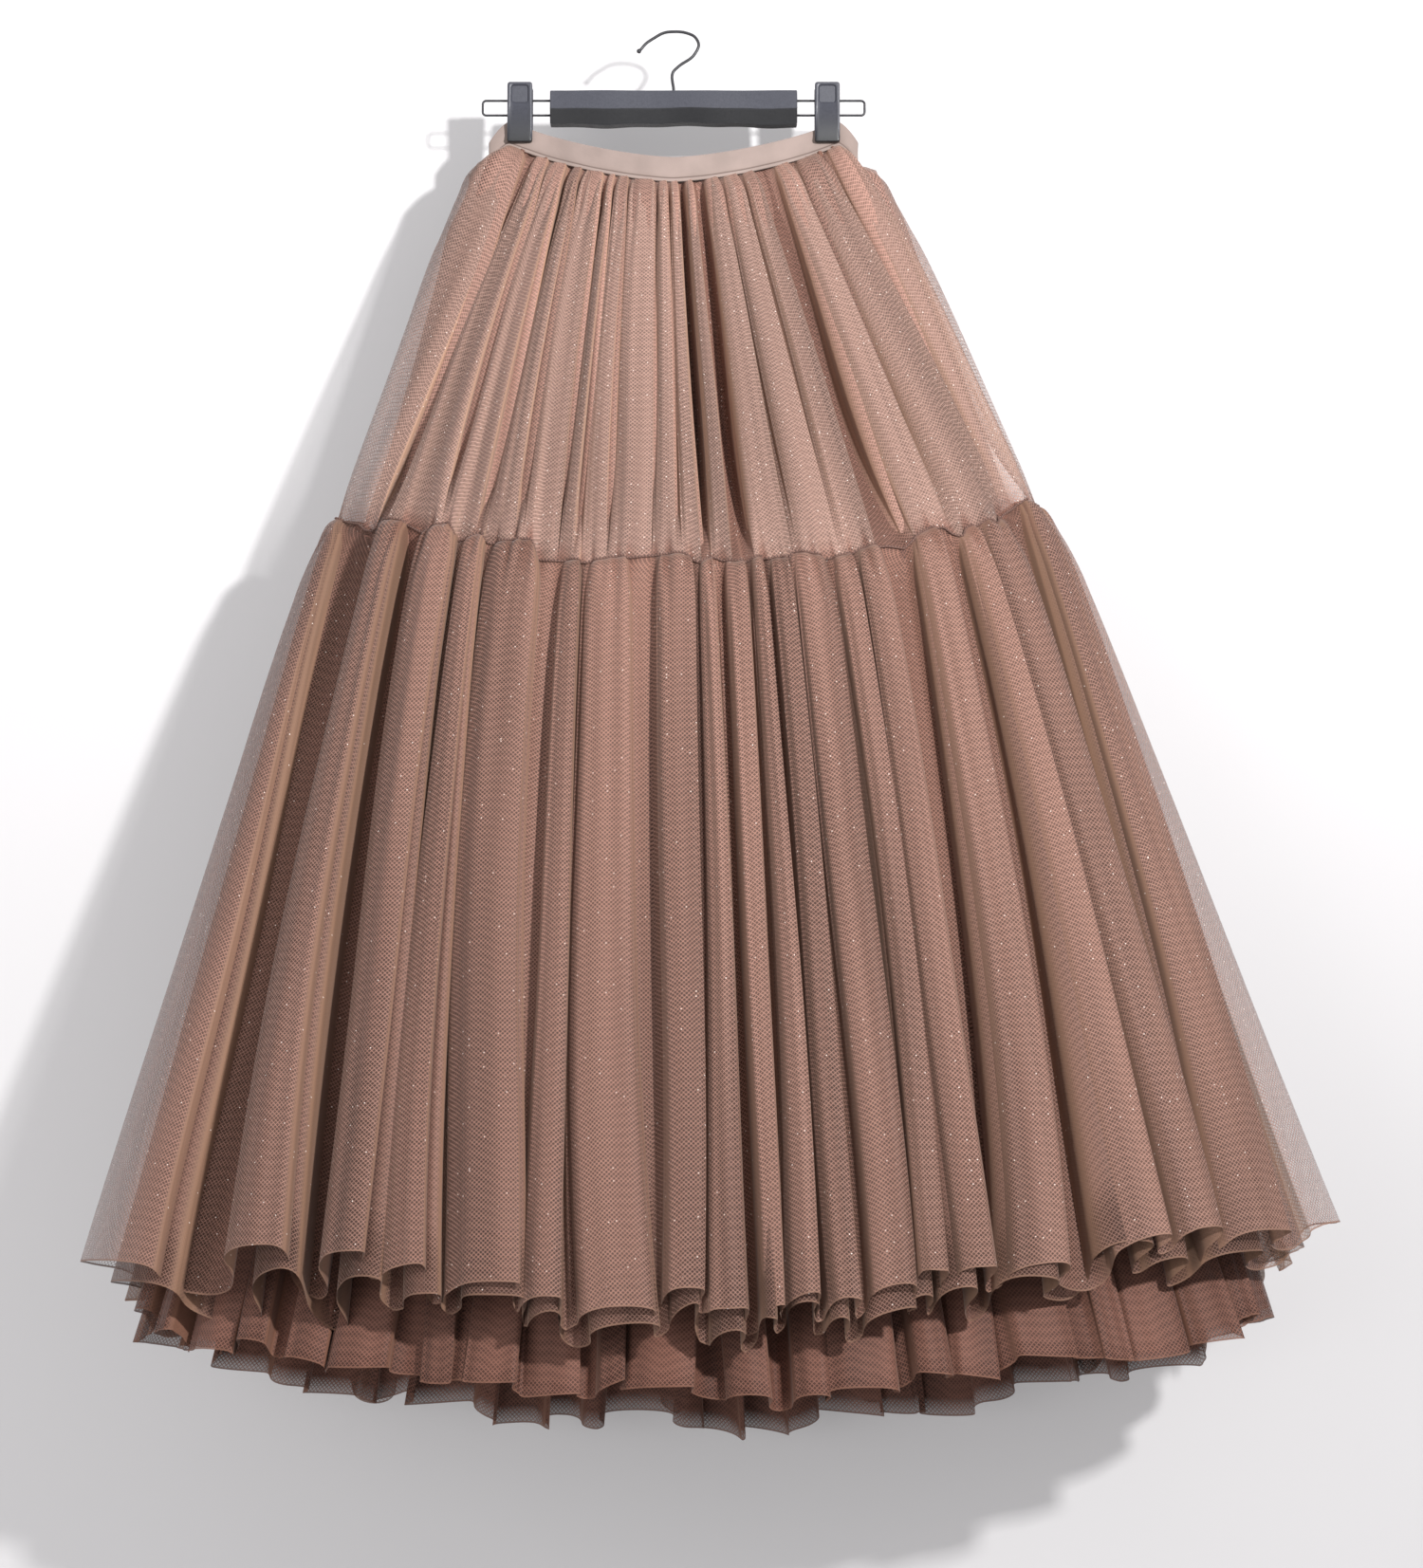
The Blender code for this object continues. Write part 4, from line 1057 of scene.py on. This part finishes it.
under_folds = [
    f._replace(hem=under_front_hem(f)) for f in ruled_folds(22, 0.0, 1.0, 0.021, 0.4)
] + ruled_folds(19, 1.0, 2.0, 0.021, 0.9, BACK_LOW, BACK_SIDES)
under = Tier(
    top=inset(SEAM, UNDER_TOP), foot=inset(HEM, UNDER_FOOT), folds=under_folds,
    levels=[Level(0, 0, 0.08), Level(0.12, -0.014, 0.45), Level(0.38, -0.014, 0.75),
            Level(1, 0, 1.0)],
    rows=spread_rows(34, 1.3, 1.1), steps=4, gathers=SEAM_STOPS, gather_fade=0.16, tuck=0.8,
    ridge=0.0008, edge_wave=0.0060, wander=0.16, hang=0.35, seed=41,
)
show_tier("under", under, tier_surface(under, lambda t: seam_height(t) - UNDER_HEAD),
          under_tulle, "under_net_")

# %% [markdown]
# ## The upper tier
# Narrower folds fan out from the waistband. Its foot has to meet the lower tier's
# head exactly, so its last rows are drawn onto the seam's own curve. Sewing springs
# in a cloth simulation would do that as well, but not to the same place every time.

# %% Upper tier
UPPER_LEVELS = [
    Level(0.00, 0.000, 0.50), Level(0.03, 0.007, 0.85), Level(0.12, 0.007, 1.05),
    Level(0.35, 0.006, 1.55), Level(0.90, 0.001, 1.35), Level(1.00, 0.000, 0.34),
]
ROW_POWERS = (1.5, 1.4)
UNDER_BAND = 0.001  # how far the net goes up behind the band's foot
DRAWN_FROM = 0.86  # the drop from which the rows are drawn to the seam
upper = Tier(
    top=WAIST, foot=SEAM, folds=UPPER_FOLDS, levels=UPPER_LEVELS,
    rows=spread_rows(52, *ROW_POWERS), steps=6, gathers=all_round(UPPER_GATHERS),
    gather_depth=0.0060, gather_fade=0.26, head_tucks=0.7, side_puff=0.010, tuck=0.8,
    ridge=0.0005, wander=0.06, seed=51,
)


def below_band(turn):
    """The height of the band's foot over the waist ring."""
    x, _ = between_rings(WAIST, WAIST, 0, turn)
    return band_top(x) - BAND_HEIGHT + UNDER_BAND


def drawn_to_seam(surface, rows):
    """The last rows of the upper tier, moved onto the first row of the lower one by
    the square of how far past DRAWN_FROM they are. They take on its painted valley shade too."""
    points, valley, turn, inwards = surface
    seam = np.mod(lower_turn[0], 2)
    order = np.argsort(seam)
    stops = np.concatenate([seam[order] - 2, seam[order], seam[order] + 2])
    at = np.mod(turn[-1], 2)
    goal = np.stack([
        np.interp(at, stops, np.tile(lower_points[0][order, axis], 3)) for axis in range(3)
    ], axis=-1)
    head_shade = np.interp(at, stops, np.tile(lower_valley_shade[HEAD_ROW][order], 3))
    share = np.clip((rows - DRAWN_FROM) / (1 - DRAWN_FROM), 0, 1) ** 2
    moved = points + share[:, None, None] * (goal - points[-1])
    return moved, np.maximum(valley, share[:, None] * head_shade), turn, inwards


def hung_to(surface, foot_z, rows):
    """The surface with its heights spread again: top + (foot - top) * drop."""
    points = surface[0].copy()
    high = points[:1, :, 2]
    points[..., 2] = high + (foot_z - high) * rows[:, None]
    return (points, *surface[1:])


upper_surface = drawn_to_seam(tier_surface(upper, below_band), upper.rows)
upper_surface = hung_to(upper_surface, upper_surface[0][-1:, :, 2], upper.rows)
show_tier("upper", upper, upper_surface, upper_tulle, "upper_tier_")

# %% [markdown]
# It has a second ply too, smoother than the first. This one is drawn in at the sides,
# because there the picture shows a single layer that light comes through.

# %% Second ply of the upper tier
UPPER_PLY_TOP, UPPER_PLY_FOOT, UPPER_PLY_ABOVE = 0.0004, 0.010, 0.002
UPPER_PLY_LEFT, UPPER_PLY_RIGHT = 0.030, 0.024
upper_ply = upper._replace(
    top=inset(WAIST, UPPER_PLY_TOP),
    foot=inset(SEAM, UPPER_PLY_FOOT)._replace(
        left=SEAM.left + UPPER_PLY_LEFT, right=SEAM.right - UPPER_PLY_RIGHT),
    rows=spread_rows(30, *ROW_POWERS), steps=4, wander=0.12, seed=61,
    gather_depth=0.0, ridge=0.0, head_tucks=0.0,
)
ply_surface = tier_surface(upper_ply, below_band)
ply_foot = seam_height(ply_surface[2][-1:]) + UPPER_PLY_ABOVE
show_tier("upper_ply", upper_ply, hung_to(ply_surface, ply_foot, upper_ply.rows),
          upper_ply_tulle)

# %% [markdown]
# ## The middle seam
# A dark thread runs along the seam, half sunk in the gathers; its dark tint is
# partly the thread's own and partly painted shade of the crease between the tiers.
# It is a thin tube carried along the seam's own curve, just outside the cloth. A
# line drawn in the tulle's material would stretch with the gathers.

# %% Seam thread
def tube_mesh(name, line, radius, sides=6, closed=True):
    """A circle carried along a line: the line's points plus radius * (cos, sin)
    in the plane of two vectors square to the line's direction."""
    run = np.roll(line, -1, axis=0) - np.roll(line, 1, axis=0)
    if not closed:
        run[0], run[-1] = line[1] - line[0], line[-1] - line[-2]
    run /= np.linalg.norm(run, axis=-1, keepdims=True)
    guide = np.array([0.0, 0.0, 1.0]) if closed else np.array([0.0, 1.0, 0.0])
    side = np.cross(run, guide)
    side /= np.linalg.norm(side, axis=-1, keepdims=True)
    over = np.cross(side, run)
    bearing = np.linspace(0, 2 * math.pi, sides + 1)[:, None, None]
    reach = np.broadcast_to(radius, len(line))[:, None]
    points = line + reach * (np.cos(bearing) * side + np.sin(bearing) * over)
    if closed:
        points = np.concatenate([points, points[:, :1]], axis=1)
    uv = np.stack([lengths(points, 1), lengths(points, 0)], axis=-1)
    mesh = grid_mesh(name, points, uv, {}, flip=True)
    weld(mesh)
    return mesh


def weld(mesh, distance=1e-6):
    """Joins points that lie on each other and turns the faces outwards."""
    work = bmesh.new()
    work.from_mesh(mesh)
    bmesh.ops.remove_doubles(work, verts=work.verts, dist=distance)
    bmesh.ops.recalc_face_normals(work, faces=work.faces)
    work.to_mesh(mesh)
    work.free()


SEAM_THREAD_RADIUS, SEAM_THREAD_OUT, TWIST_PITCH = 0.0010, 0.0018, 0.0026
# Both tints are dark partly for the thread and partly as painted shade of the seam's crease.
THREAD_DARK, THREAD_LIGHT = (0.05, 0.022, 0.016, 1), (0.16, 0.085, 0.065, 1)
outwards = np.concatenate([-lower_in[0], np.zeros((lower_in.shape[1], 1))], axis=1)
seam_line = (lower_points[0] + SEAM_THREAD_OUT * outwards)[::2]
thread_and_crease_shade, n = new_finish("seam_thread_and_shade")
down_the_line = n.add("ShaderNodeSeparateXYZ", {0: n.cloth_place()}).outputs[0]
twist = n.math("SINE", n.math("MULTIPLY", down_the_line, 2 * math.pi / TWIST_PITCH))
n.show(n.surface({
    "Base Color": n.mix(n.ramp(twist, -0.4, 0.6), THREAD_DARK, THREAD_LIGHT),
    "Roughness": 0.8}))
place("seam_thread_and_shade", tube_mesh("seam_thread_and_shade", seam_line, SEAM_THREAD_RADIUS),
      thread_and_crease_shade, "tulle")
print("seam thread", len(seam_line), "points")

# %% [markdown]
# ## The waistband
# An elastic casing of matte woven cloth: two close tints in soft blotches, a fine
# weave in the bump, and a dark line where the casing is stitched down.

# %% Band cloth
BAND_DARK, BAND_LIGHT = (0.205, 0.157, 0.138, 1), (0.245, 0.187, 0.165, 1)
STITCH_TINT = (0.085, 0.055, 0.045, 1)
WEAVE_SCALE, BLOTCH_SCALE = 900.0, 30.0
band_cloth, n = new_finish("band_cloth")
uv = n.cloth_place()
blotches = n.ramp(n.noise(uv, BLOTCH_SCALE, 3.0), *NOISE_RANGE)
n.show(n.surface({
    "Base Color": n.mix(n.mark("stitch"), n.mix(blotches, BAND_DARK, BAND_LIGHT), STITCH_TINT),
    "Roughness": 0.85, "Sheen Weight": 0.2}, n.noise(uv, WEAVE_SCALE), 0.3, 0.0004))
print("band cloth", len(n.tree.nodes), "nodes")

# %% [markdown]
# It is one closed band: a rounded top edge, an outer face with the stitch's groove,
# a foot and an inner face, carried round the waist ring. A Solidify modifier gives a
# wall as well, but neither the groove nor the round edges.

# %% Waistband
BAND_WALL, BAND_COLUMNS = 0.0020, 560
BAND_RIPPLE, BAND_RIPPLES = 0.0005, 61
EDGE_ROUND = 0.03
STITCH = (0.30, 0.85)  # the groove, as shares of the wall and of the height
OUTER_FACE = [(0, 0.08), (0, 0.25), (0, 0.45), (0, 0.65), (0, 0.80), STITCH, (0, 0.89),
              (0, 0.94)]


def band_section(count=9):
    """Outline of the band's wall as (in, down) shares: out over a round top edge,
    down the outer face, round the foot and up the inner face."""
    bend = np.linspace(0, math.pi, count)
    top = np.stack([0.5 + 0.5 * np.cos(bend), EDGE_ROUND - EDGE_ROUND * np.sin(bend)], axis=-1)
    foot = np.stack([0.5 - 0.5 * np.cos(bend), 1 - EDGE_ROUND + EDGE_ROUND * np.sin(bend)],
                    axis=-1)
    inner = np.stack([np.ones(6), np.linspace(0.9, 0.1, 6)], axis=-1)
    return np.concatenate([top, np.array(OUTER_FACE), foot, inner])


def closed_both_ways(grid):
    """The grid with its first row and its first column again at the end."""
    grid = np.concatenate([grid, grid[:1]], axis=0)
    return np.concatenate([grid, grid[:, :1]], axis=1)


band_outline = band_section()
into, down = band_outline[:, :1], band_outline[:, 1:]
band_turn = np.linspace(0, 2, BAND_COLUMNS, endpoint=False)
ring_x, ring_y = between_rings(WAIST, WAIST, 0, band_turn)
in_x, in_y = inward(WAIST, WAIST, 0, band_turn)
ripple = BAND_RIPPLE * np.sin(band_turn * BAND_RIPPLES) * np.sin(math.pi * down) * (into < 0.5)
band = closed_both_ways(np.stack([
    ring_x + in_x * (into * BAND_WALL - ripple),
    ring_y + in_y * (into * BAND_WALL - ripple),
    band_top(ring_x) - down * BAND_HEIGHT,
], axis=-1))
around = lengths(band, 1)[0]
band_uv = np.stack([np.broadcast_to(around, band.shape[:2]), lengths(band, 0)], axis=-1)
stitched = np.append(np.all(band_outline == STITCH, axis=1), False)
stitched = np.broadcast_to(stitched[:, None], band.shape[:2]).astype(float)
band_mesh = grid_mesh("waistband_cloth", band, band_uv, {"stitch": stitched})
weld(band_mesh)
waistband = place("waistband_cloth", band_mesh, band_cloth, "band_cloth", ["waistband"])
print("waistband", round(float(around[-1]), 3), "round")

# %% [markdown]
# ## Hanger finishes
# Moulded plastic has a fine matte grain, and the wire is dark plated steel. The
# sleeve and the jaws get painted shade on their lower lip, which faces down, and
# their meshes mark it. Both finishes are one recipe with other numbers. The clips'
# blocks are the CAD model's own.

# %% Hanger materials
GRAIN_TONE, GRAIN_ROUGHNESS, GRAIN_BUMP, GRAIN_HEIGHT = 0.12, 0.06, 0.15, 0.0002


def plain(name, colour, roughness, metallic, grain, lip_shade=1.0):
    """A colour times 1 plus or minus the grain, and times a painted shade on a marked lip, which
    faces down.
    The same grain changes the roughness and lifts the bump."""
    finish, n = new_finish(name)
    speck = n.noise(n.add("ShaderNodeTexCoord").outputs["Object"], grain, 3.0)
    tone = n.math("MULTIPLY", n.ramp(speck, *NOISE_RANGE, 1 - GRAIN_TONE, 1 + GRAIN_TONE),
                  n.blend(n.mark("lip_shade_mask"), 1.0, lip_shade))
    rough = n.ramp(speck, *NOISE_RANGE, roughness - GRAIN_ROUGHNESS,
                   roughness + GRAIN_ROUGHNESS)
    n.show(n.surface({
        "Base Color": n.scaled(colour, tone), "Metallic": metallic, "Roughness": rough,
    }, speck, GRAIN_BUMP, GRAIN_HEIGHT))
    return finish


plastic = plain("hanger_plastic", (0.037, 0.038, 0.049), 0.46, 0.0, 900.0, 0.12)
dark_wire = plain("hanger_wire", (0.022, 0.022, 0.025), 0.40, 0.25, 500.0)
for node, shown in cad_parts.items():
    if node.startswith("clip_"):
        shown.data.materials.clear()
        shown.data.materials.append(plastic)
print("hanger finishes made")

# %% [markdown]
# ## The wires
# The hook and the two end loops are bent wire. A tube is a circle carried along a
# smooth line. Its radius may change on the way, which closes its ends and swells it
# into the ball at the hook's tip, with no second mesh to join.

# %% Wires
HOOK_RADIUS, TIP_RADIUS, LOOP_RADIUS = 0.0013, 0.0021, 0.0010
HOOK_LINE = [
    (0.0000, -0.0520), (0.0000, -0.0340), (0.0040, -0.0300), (0.0180, -0.0190),
    (0.0217, -0.0100), (0.0185, -0.0036), (0.0100, 0.0004), (0.0000, 0.0013),
    (-0.0080, 0.0004), (-0.0180, -0.0050), (-0.0240, -0.0092), (-0.0290, -0.0150),
    (-0.0318, -0.0175),
]
BAR_HALF_LENGTH, LOOP_END_X = 0.1070, 0.1655
LOOP_HIGH, LOOP_LOW, LOOP_CORNER = -0.0605, -0.0735, 0.0030
WIRE_POINTS, WIRE_SIDES, CAP = 160, 16, 0.00001
LOOP_IN_SLEEVE, BEND_POINTS, STRAIGHT_POINTS = 0.002, 9, 12


def along(points, count):
    """Evenly spaced places on a cubic Hermite curve through the points."""
    points = np.array(points, float)
    steps = np.linalg.norm(np.diff(points, axis=0), axis=1)
    stops = np.concatenate([[0], np.cumsum(steps)])
    even = np.linspace(0, stops[-1], count)
    return np.stack([eased(even, stops, column) for column in points.T], axis=-1)


def wire(name, line, radius, node):
    """A tube along a line in the hanger's plane, closed by a last ring of no size."""
    line = np.stack([line[:, 0], 0 * line[:, 0], line[:, 1]], axis=-1)
    ends = line[[0]] + CAP * (line[0] - line[1]), line[[-1]] + CAP * (line[-1] - line[-2])
    line = np.concatenate([ends[0], line, ends[1]])
    radius = np.concatenate([[0], np.broadcast_to(radius, len(line) - 2), [0]])
    mesh = tube_mesh(name, line, radius, WIRE_SIDES, closed=False)
    return place(name, mesh, dark_wire, "hanger_wire", [node])


def loop_line(sign):
    """A U of wire: out along the top, round two corners and back underneath."""
    corner = LOOP_END_X - LOOP_CORNER
    bend = np.linspace(0, math.pi / 2, BEND_POINTS)
    straight = np.linspace(BAR_HALF_LENGTH - LOOP_IN_SLEEVE, corner, STRAIGHT_POINTS)[:-1]
    x = np.concatenate([straight, corner + LOOP_CORNER * np.sin(bend),
                        corner + LOOP_CORNER * np.cos(bend), straight[::-1]])
    z = np.concatenate([np.full(len(straight), LOOP_HIGH),
                        LOOP_HIGH - LOOP_CORNER * (1 - np.cos(bend)),
                        LOOP_LOW + LOOP_CORNER * (1 - np.sin(bend)),
                        np.full(len(straight), LOOP_LOW)])
    return np.stack([sign * x, z], axis=-1)


hook_line = along(HOOK_LINE, WIRE_POINTS)
to_end = lengths(hook_line[::-1], 0)[::-1]
ball = np.sqrt(np.clip(TIP_RADIUS**2 - (to_end - TIP_RADIUS) ** 2, 0, None))
wire("hook_wire", hook_line, np.where(to_end < TIP_RADIUS, ball, np.maximum(ball, HOOK_RADIUS)),
     "hanger_hook")
for word, sign in (("left", -1), ("right", 1)):
    wire(f"loop_wire_{word}", loop_line(sign), LOOP_RADIUS, f"hanger_wire_{word}")
print("three wires")

# %% [markdown]
# ## The sleeve
# A wrapped strip of plastic, folded over the wire, with a crease along its front. It
# is a stack of closed rings: its folded section, carried from end to end with a
# slight wave. A box with a bevel would be too straight for a wrapped strip.

# %% Sleeve
SLEEVE_SECTION = [
    (-0.0036, -0.0522), (-0.0092, -0.0538), (-0.0117, -0.0700), (-0.0058, -0.0824),
    (0.0058, -0.0824), (0.0117, -0.0700), (0.0092, -0.0538), (0.0036, -0.0522),
]
CREASE_Z, LIP_SHADE_BAND = -0.0700, 0.0010
SLEEVE_RINGS, SLEEVE_BEVEL, SLEEVE_END = 140, 0.0006, 0.90
SHARP_ANGLE = math.radians(50)


def ring_stack(name, rings, lip_shade_mask):
    """A mesh of closed rings, each joined to the next; the end rings have no size."""
    rings = np.concatenate([rings, rings[:, :1]], axis=1)
    lip_shade_mask = np.concatenate([lip_shade_mask, lip_shade_mask[:, :1]], axis=1)
    uv = np.stack([lengths(rings, 1), lengths(rings, 0)], axis=-1)
    mesh = grid_mesh(name, rings, uv, {"lip_shade_mask": lip_shade_mask})
    weld(mesh)
    mesh.set_sharp_from_angle(angle=SHARP_ANGLE)
    return mesh


def sway(x, high, pitch, phase=0.0):
    """A wave along the sleeve: high * sin(2 pi x / pitch + phase)."""
    return high * np.sin(2 * math.pi * x / pitch + phase)


strip = closed_spline(np.repeat(np.array(SLEEVE_SECTION).T, 3, axis=1), 3)
evenly = np.linspace(-BAR_HALF_LENGTH, BAR_HALF_LENGTH, SLEEVE_RINGS)
first, last = evenly[0], evenly[-1]
strip_x = np.array([first, first, first + SLEEVE_BEVEL, *evenly[1:-1], last - SLEEVE_BEVEL,
                    last, last])[:, None]
size = np.array([0, SLEEVE_END, *np.ones(len(strip_x) - 4), SLEEVE_END, 0])[:, None]
centre_z = strip[1].mean()
low_share = np.clip((CREASE_Z - strip[1]) / (CREASE_Z - strip[1].min()), -1, 1)
strip_y = size * strip[0] * (1 + sway(strip_x, 0.05, 0.083))
lift = sway(strip_x, 0.0006, 0.150, 0.9) + sway(strip_x, 0.0003, 0.047)
strip_z = centre_z + size * (strip[1] - centre_z) + lift * (0.6 + 0.7 * low_share)
strip_rings = np.stack([np.broadcast_to(strip_x, strip_y.shape), strip_y, strip_z], axis=-1)
# Painted shade on the sleeve's lower face, under the crease, which faces down.
sleeve_shade_mask = np.clip((CREASE_Z - strip[1]) / LIP_SHADE_BAND + 0.3, 0, 1)
place("sleeve", ring_stack("sleeve", strip_rings, np.broadcast_to(sleeve_shade_mask, strip_y.shape)),
      plastic, "hanger_plastic", ["hanger_bar"])
print("sleeve of", len(strip_x), "rings")

# %% [markdown]
# ## The jaws
# Each clip has a jaw on either side of the band. A jaw's rings start in the middle
# of its back, go round its bevelled rim, and end in the thumb rest's sunken middle.
# A front jaw bulges, as its table of heights and depths says.

# %% Jaws
CLIP_X, CLIP_WIDTH, CLIP_HIGH, CLIP_LOW = 0.1330, 0.0216, -0.0465, -0.0995
CLIP_CORNER, REST_CORNER = 0.0024, 0.0030
REST_WIDTH, REST_HIGH, REST_LOW, REST_DEPTH = 0.0160, -0.0485, -0.0655, 0.0016
JAW_SHADE_Z = -0.0955
JAW_FRONT = ([-0.0995, -0.0950, -0.0930, -0.0700, -0.0465],
             [0.0098, 0.0098, 0.0084, 0.0104, 0.0112])
JAW_BACK = ([-0.0995, -0.0580, -0.0465], [0.0044, 0.0044, 0.0078])


def rounded_outline(width, high, low, corner, straight=10, round_steps=6):
    """A rectangle with rounded corners, as (x, z): four arcs and the sides between."""
    half, middle, tall = width / 2 - corner, (high + low) / 2, (high - low) / 2 - corner
    bend = np.linspace(0, math.pi / 2, round_steps)
    rows = []
    for k, (x, z) in enumerate(((half, tall), (-half, tall), (-half, -tall), (half, -tall))):
        turned = bend + k * math.pi / 2
        rows.append(np.stack([x + corner * np.cos(turned), z + corner * np.sin(turned)], axis=-1))
    rows = [np.concatenate([row, np.linspace(row[-1], after[0], straight + 2)[1:-1]])
            for row, after in zip(rows, rows[1:] + rows[:1])]
    return np.concatenate(rows) + (0, middle)


def jaw(word, sign, face):
    """One jaw of a clip. Each ring is an outline, a table of depths in front of the
    band by height, and a step past that depth."""
    name = "front" if face == FRONT else "back"

    def outline(by):
        """The clip's outline, drawn in by a length."""
        return rounded_outline(CLIP_WIDTH - 2 * by, CLIP_HIGH - by, CLIP_LOW + by,
                               CLIP_CORNER - by)

    def rest(by):
        """The thumb rest's outline, drawn in by a length."""
        return rounded_outline(REST_WIDTH - 2 * by, REST_HIGH - by, REST_LOW + by,
                               REST_CORNER - by)

    def point(high, low):
        """An outline of no size, half-way between two heights."""
        return 0 * outline(0) + (0, (high + low) / 2)

    plan = [
        (point(CLIP_HIGH, CLIP_LOW), JAW_BACK, 0), (outline(0.0006), JAW_BACK, 0),
        (outline(0), JAW_BACK, 0.0006), (outline(0), JAW_FRONT, -0.0010),
        (outline(0.0004), JAW_FRONT, -0.0003), (outline(0.0012), JAW_FRONT, 0),
        (rest(0), JAW_FRONT, 0), (rest(0.0005), JAW_FRONT, -0.0005),
        (rest(0.0013), JAW_FRONT, -REST_DEPTH),
        (point(REST_HIGH, REST_LOW), JAW_FRONT, -REST_DEPTH),
    ]
    rings = np.stack([
        np.stack([sign * CLIP_X + o[:, 0], face * (np.interp(o[:, 1], *table) + more), o[:, 1]],
                 axis=-1)
        for o, table, more in plan])
    # Painted shade on the jaw's lower lip, which faces down.
    lip_shade_mask = np.clip((JAW_SHADE_Z - rings[..., 2]) / LIP_SHADE_BAND + 0.5, 0, 1)
    mesh = ring_stack(f"jaw_{word}_{name}", rings, lip_shade_mask)
    place(mesh.name, mesh, plastic, "hanger_plastic", [f"clip_{word}_{name}"])


for word, sign in (("left", -1), ("right", 1)):
    for face in (FRONT, BACK):
        jaw(word, sign, face)
print("four jaws")

# %% [markdown]
# ## Wall and floor
# The skirt hangs close to a pale wall, which catches its shadow. Photographers often
# light such a wall on its own. Here it glows a little by itself, which saves a lamp
# and also lights the back of the skirt. From behind, both planes are clear, so the
# skirt can be looked at from every side.

# %% Wall and floor
WALL_Y, FLOOR_Z, FAR = 0.092, -1.95, 6.0
WALL_TINT, FLOOR_TINT, GLOW_TINT = (0.45, 0.44, 0.443), (0.62, 0.61, 0.61), (1.0, 0.98, 0.99, 1)
WALL_GLOW, UNEVEN = 0.20, 0.985


def stage_plane(name, corners, tint, glow=0.0):
    """One big face: a matte surface from the front and a clear one from behind. Its
    tint is times 0.985 to 1, in clouds."""
    finish, n = new_finish(name)
    clouds = n.noise(n.add("ShaderNodeTexCoord").outputs["Object"], 3.0)
    shade = n.mix(n.ramp(clouds, *NOISE_RANGE), (*(UNEVEN * c for c in tint), 1), (*tint, 1))
    matte = n.surface({
        "Base Color": shade, "Roughness": 0.9, "Specular IOR Level": 0.1,
        "Emission Color": GLOW_TINT, "Emission Strength": glow})
    clear = n.add("ShaderNodeBsdfTransparent").outputs[0]
    behind = n.add("ShaderNodeNewGeometry").outputs["Backfacing"]
    n.show(n.add("ShaderNodeMixShader", {0: behind, 1: matte, 2: clear}).outputs[0])
    mesh = bpy.data.meshes.new(name)
    mesh.from_pydata(corners, [], [(0, 1, 2, 3)])
    mesh.materials.append(finish)
    plane = bpy.data.objects.new(name, mesh)
    bpy.context.scene.collection.objects.link(plane)


stage_plane("wall", [(-FAR, WALL_Y, FLOOR_Z), (FAR, WALL_Y, FLOOR_Z), (FAR, WALL_Y, FAR),
                     (-FAR, WALL_Y, FAR)], WALL_TINT, WALL_GLOW)
stage_plane("floor", [(-FAR, -FAR, FLOOR_Z), (FAR, -FAR, FLOOR_Z), (FAR, FAR, FLOOR_Z),
                      (-FAR, FAR, FLOOR_Z)], FLOOR_TINT)
print("wall at y", WALL_Y, "and floor at z", FLOOR_Z)

# %% [markdown]
# ## Lights
# A small light from the upper right, narrowed to a cone, draws the folds and throws
# the skirt's shadow to the left. A broad one from the lower left fills the valleys,
# and the sky's even light does the rest. Few lights keep the render quick.

# %% Lights
KEY_PLACE, KEY_AIM, KEY_POWER, KEY_SPREAD = (1.38, -2.65, 0.02), (0.0, -0.15, -0.20), 28, 80
FILL_PLACE, FILL_AIM, FILL_POWER = (-2.2, -3.2, -0.8), (0.0, -0.15, -0.65), 50
SKY_TINT, SKY_POWER = (0.96, 0.97, 1.0, 1), 0.76


def softbox(name, place_at, aim, side, power, spread=180):
    """A square light that faces its aim: tipped by the angle from straight down, and
    turned by the angle of its level direction."""
    light = bpy.data.lights.new(name, "AREA")
    light.shape = "RECTANGLE"
    light.size = light.size_y = side
    light.energy = power
    light.spread = math.radians(spread)
    lamp = bpy.data.objects.new(name, light)
    lamp.location = place_at
    away = np.array(place_at) - np.array(aim)
    flat = math.hypot(away[0], away[1])
    lamp.rotation_euler = (math.atan2(flat, away[2]), 0, math.atan2(away[0], -away[1]))
    bpy.context.scene.collection.objects.link(lamp)


softbox("key", KEY_PLACE, KEY_AIM, 0.14, KEY_POWER, KEY_SPREAD)
softbox("fill", FILL_PLACE, FILL_AIM, 2.4, FILL_POWER)
world = bpy.data.worlds.new("world")
world.use_nodes = True
world.node_tree.nodes["Background"].inputs[0].default_value = SKY_TINT
world.node_tree.nodes["Background"].inputs[1].default_value = SKY_POWER
bpy.context.scene.world = world
bpy.context.scene.view_settings.view_transform = "Standard"
cycles = bpy.context.scene.cycles
cycles.transparent_max_bounces = 12
cycles.max_bounces, cycles.diffuse_bounces, cycles.glossy_bounces = 3, 2, 1
print("two lights and a sky")
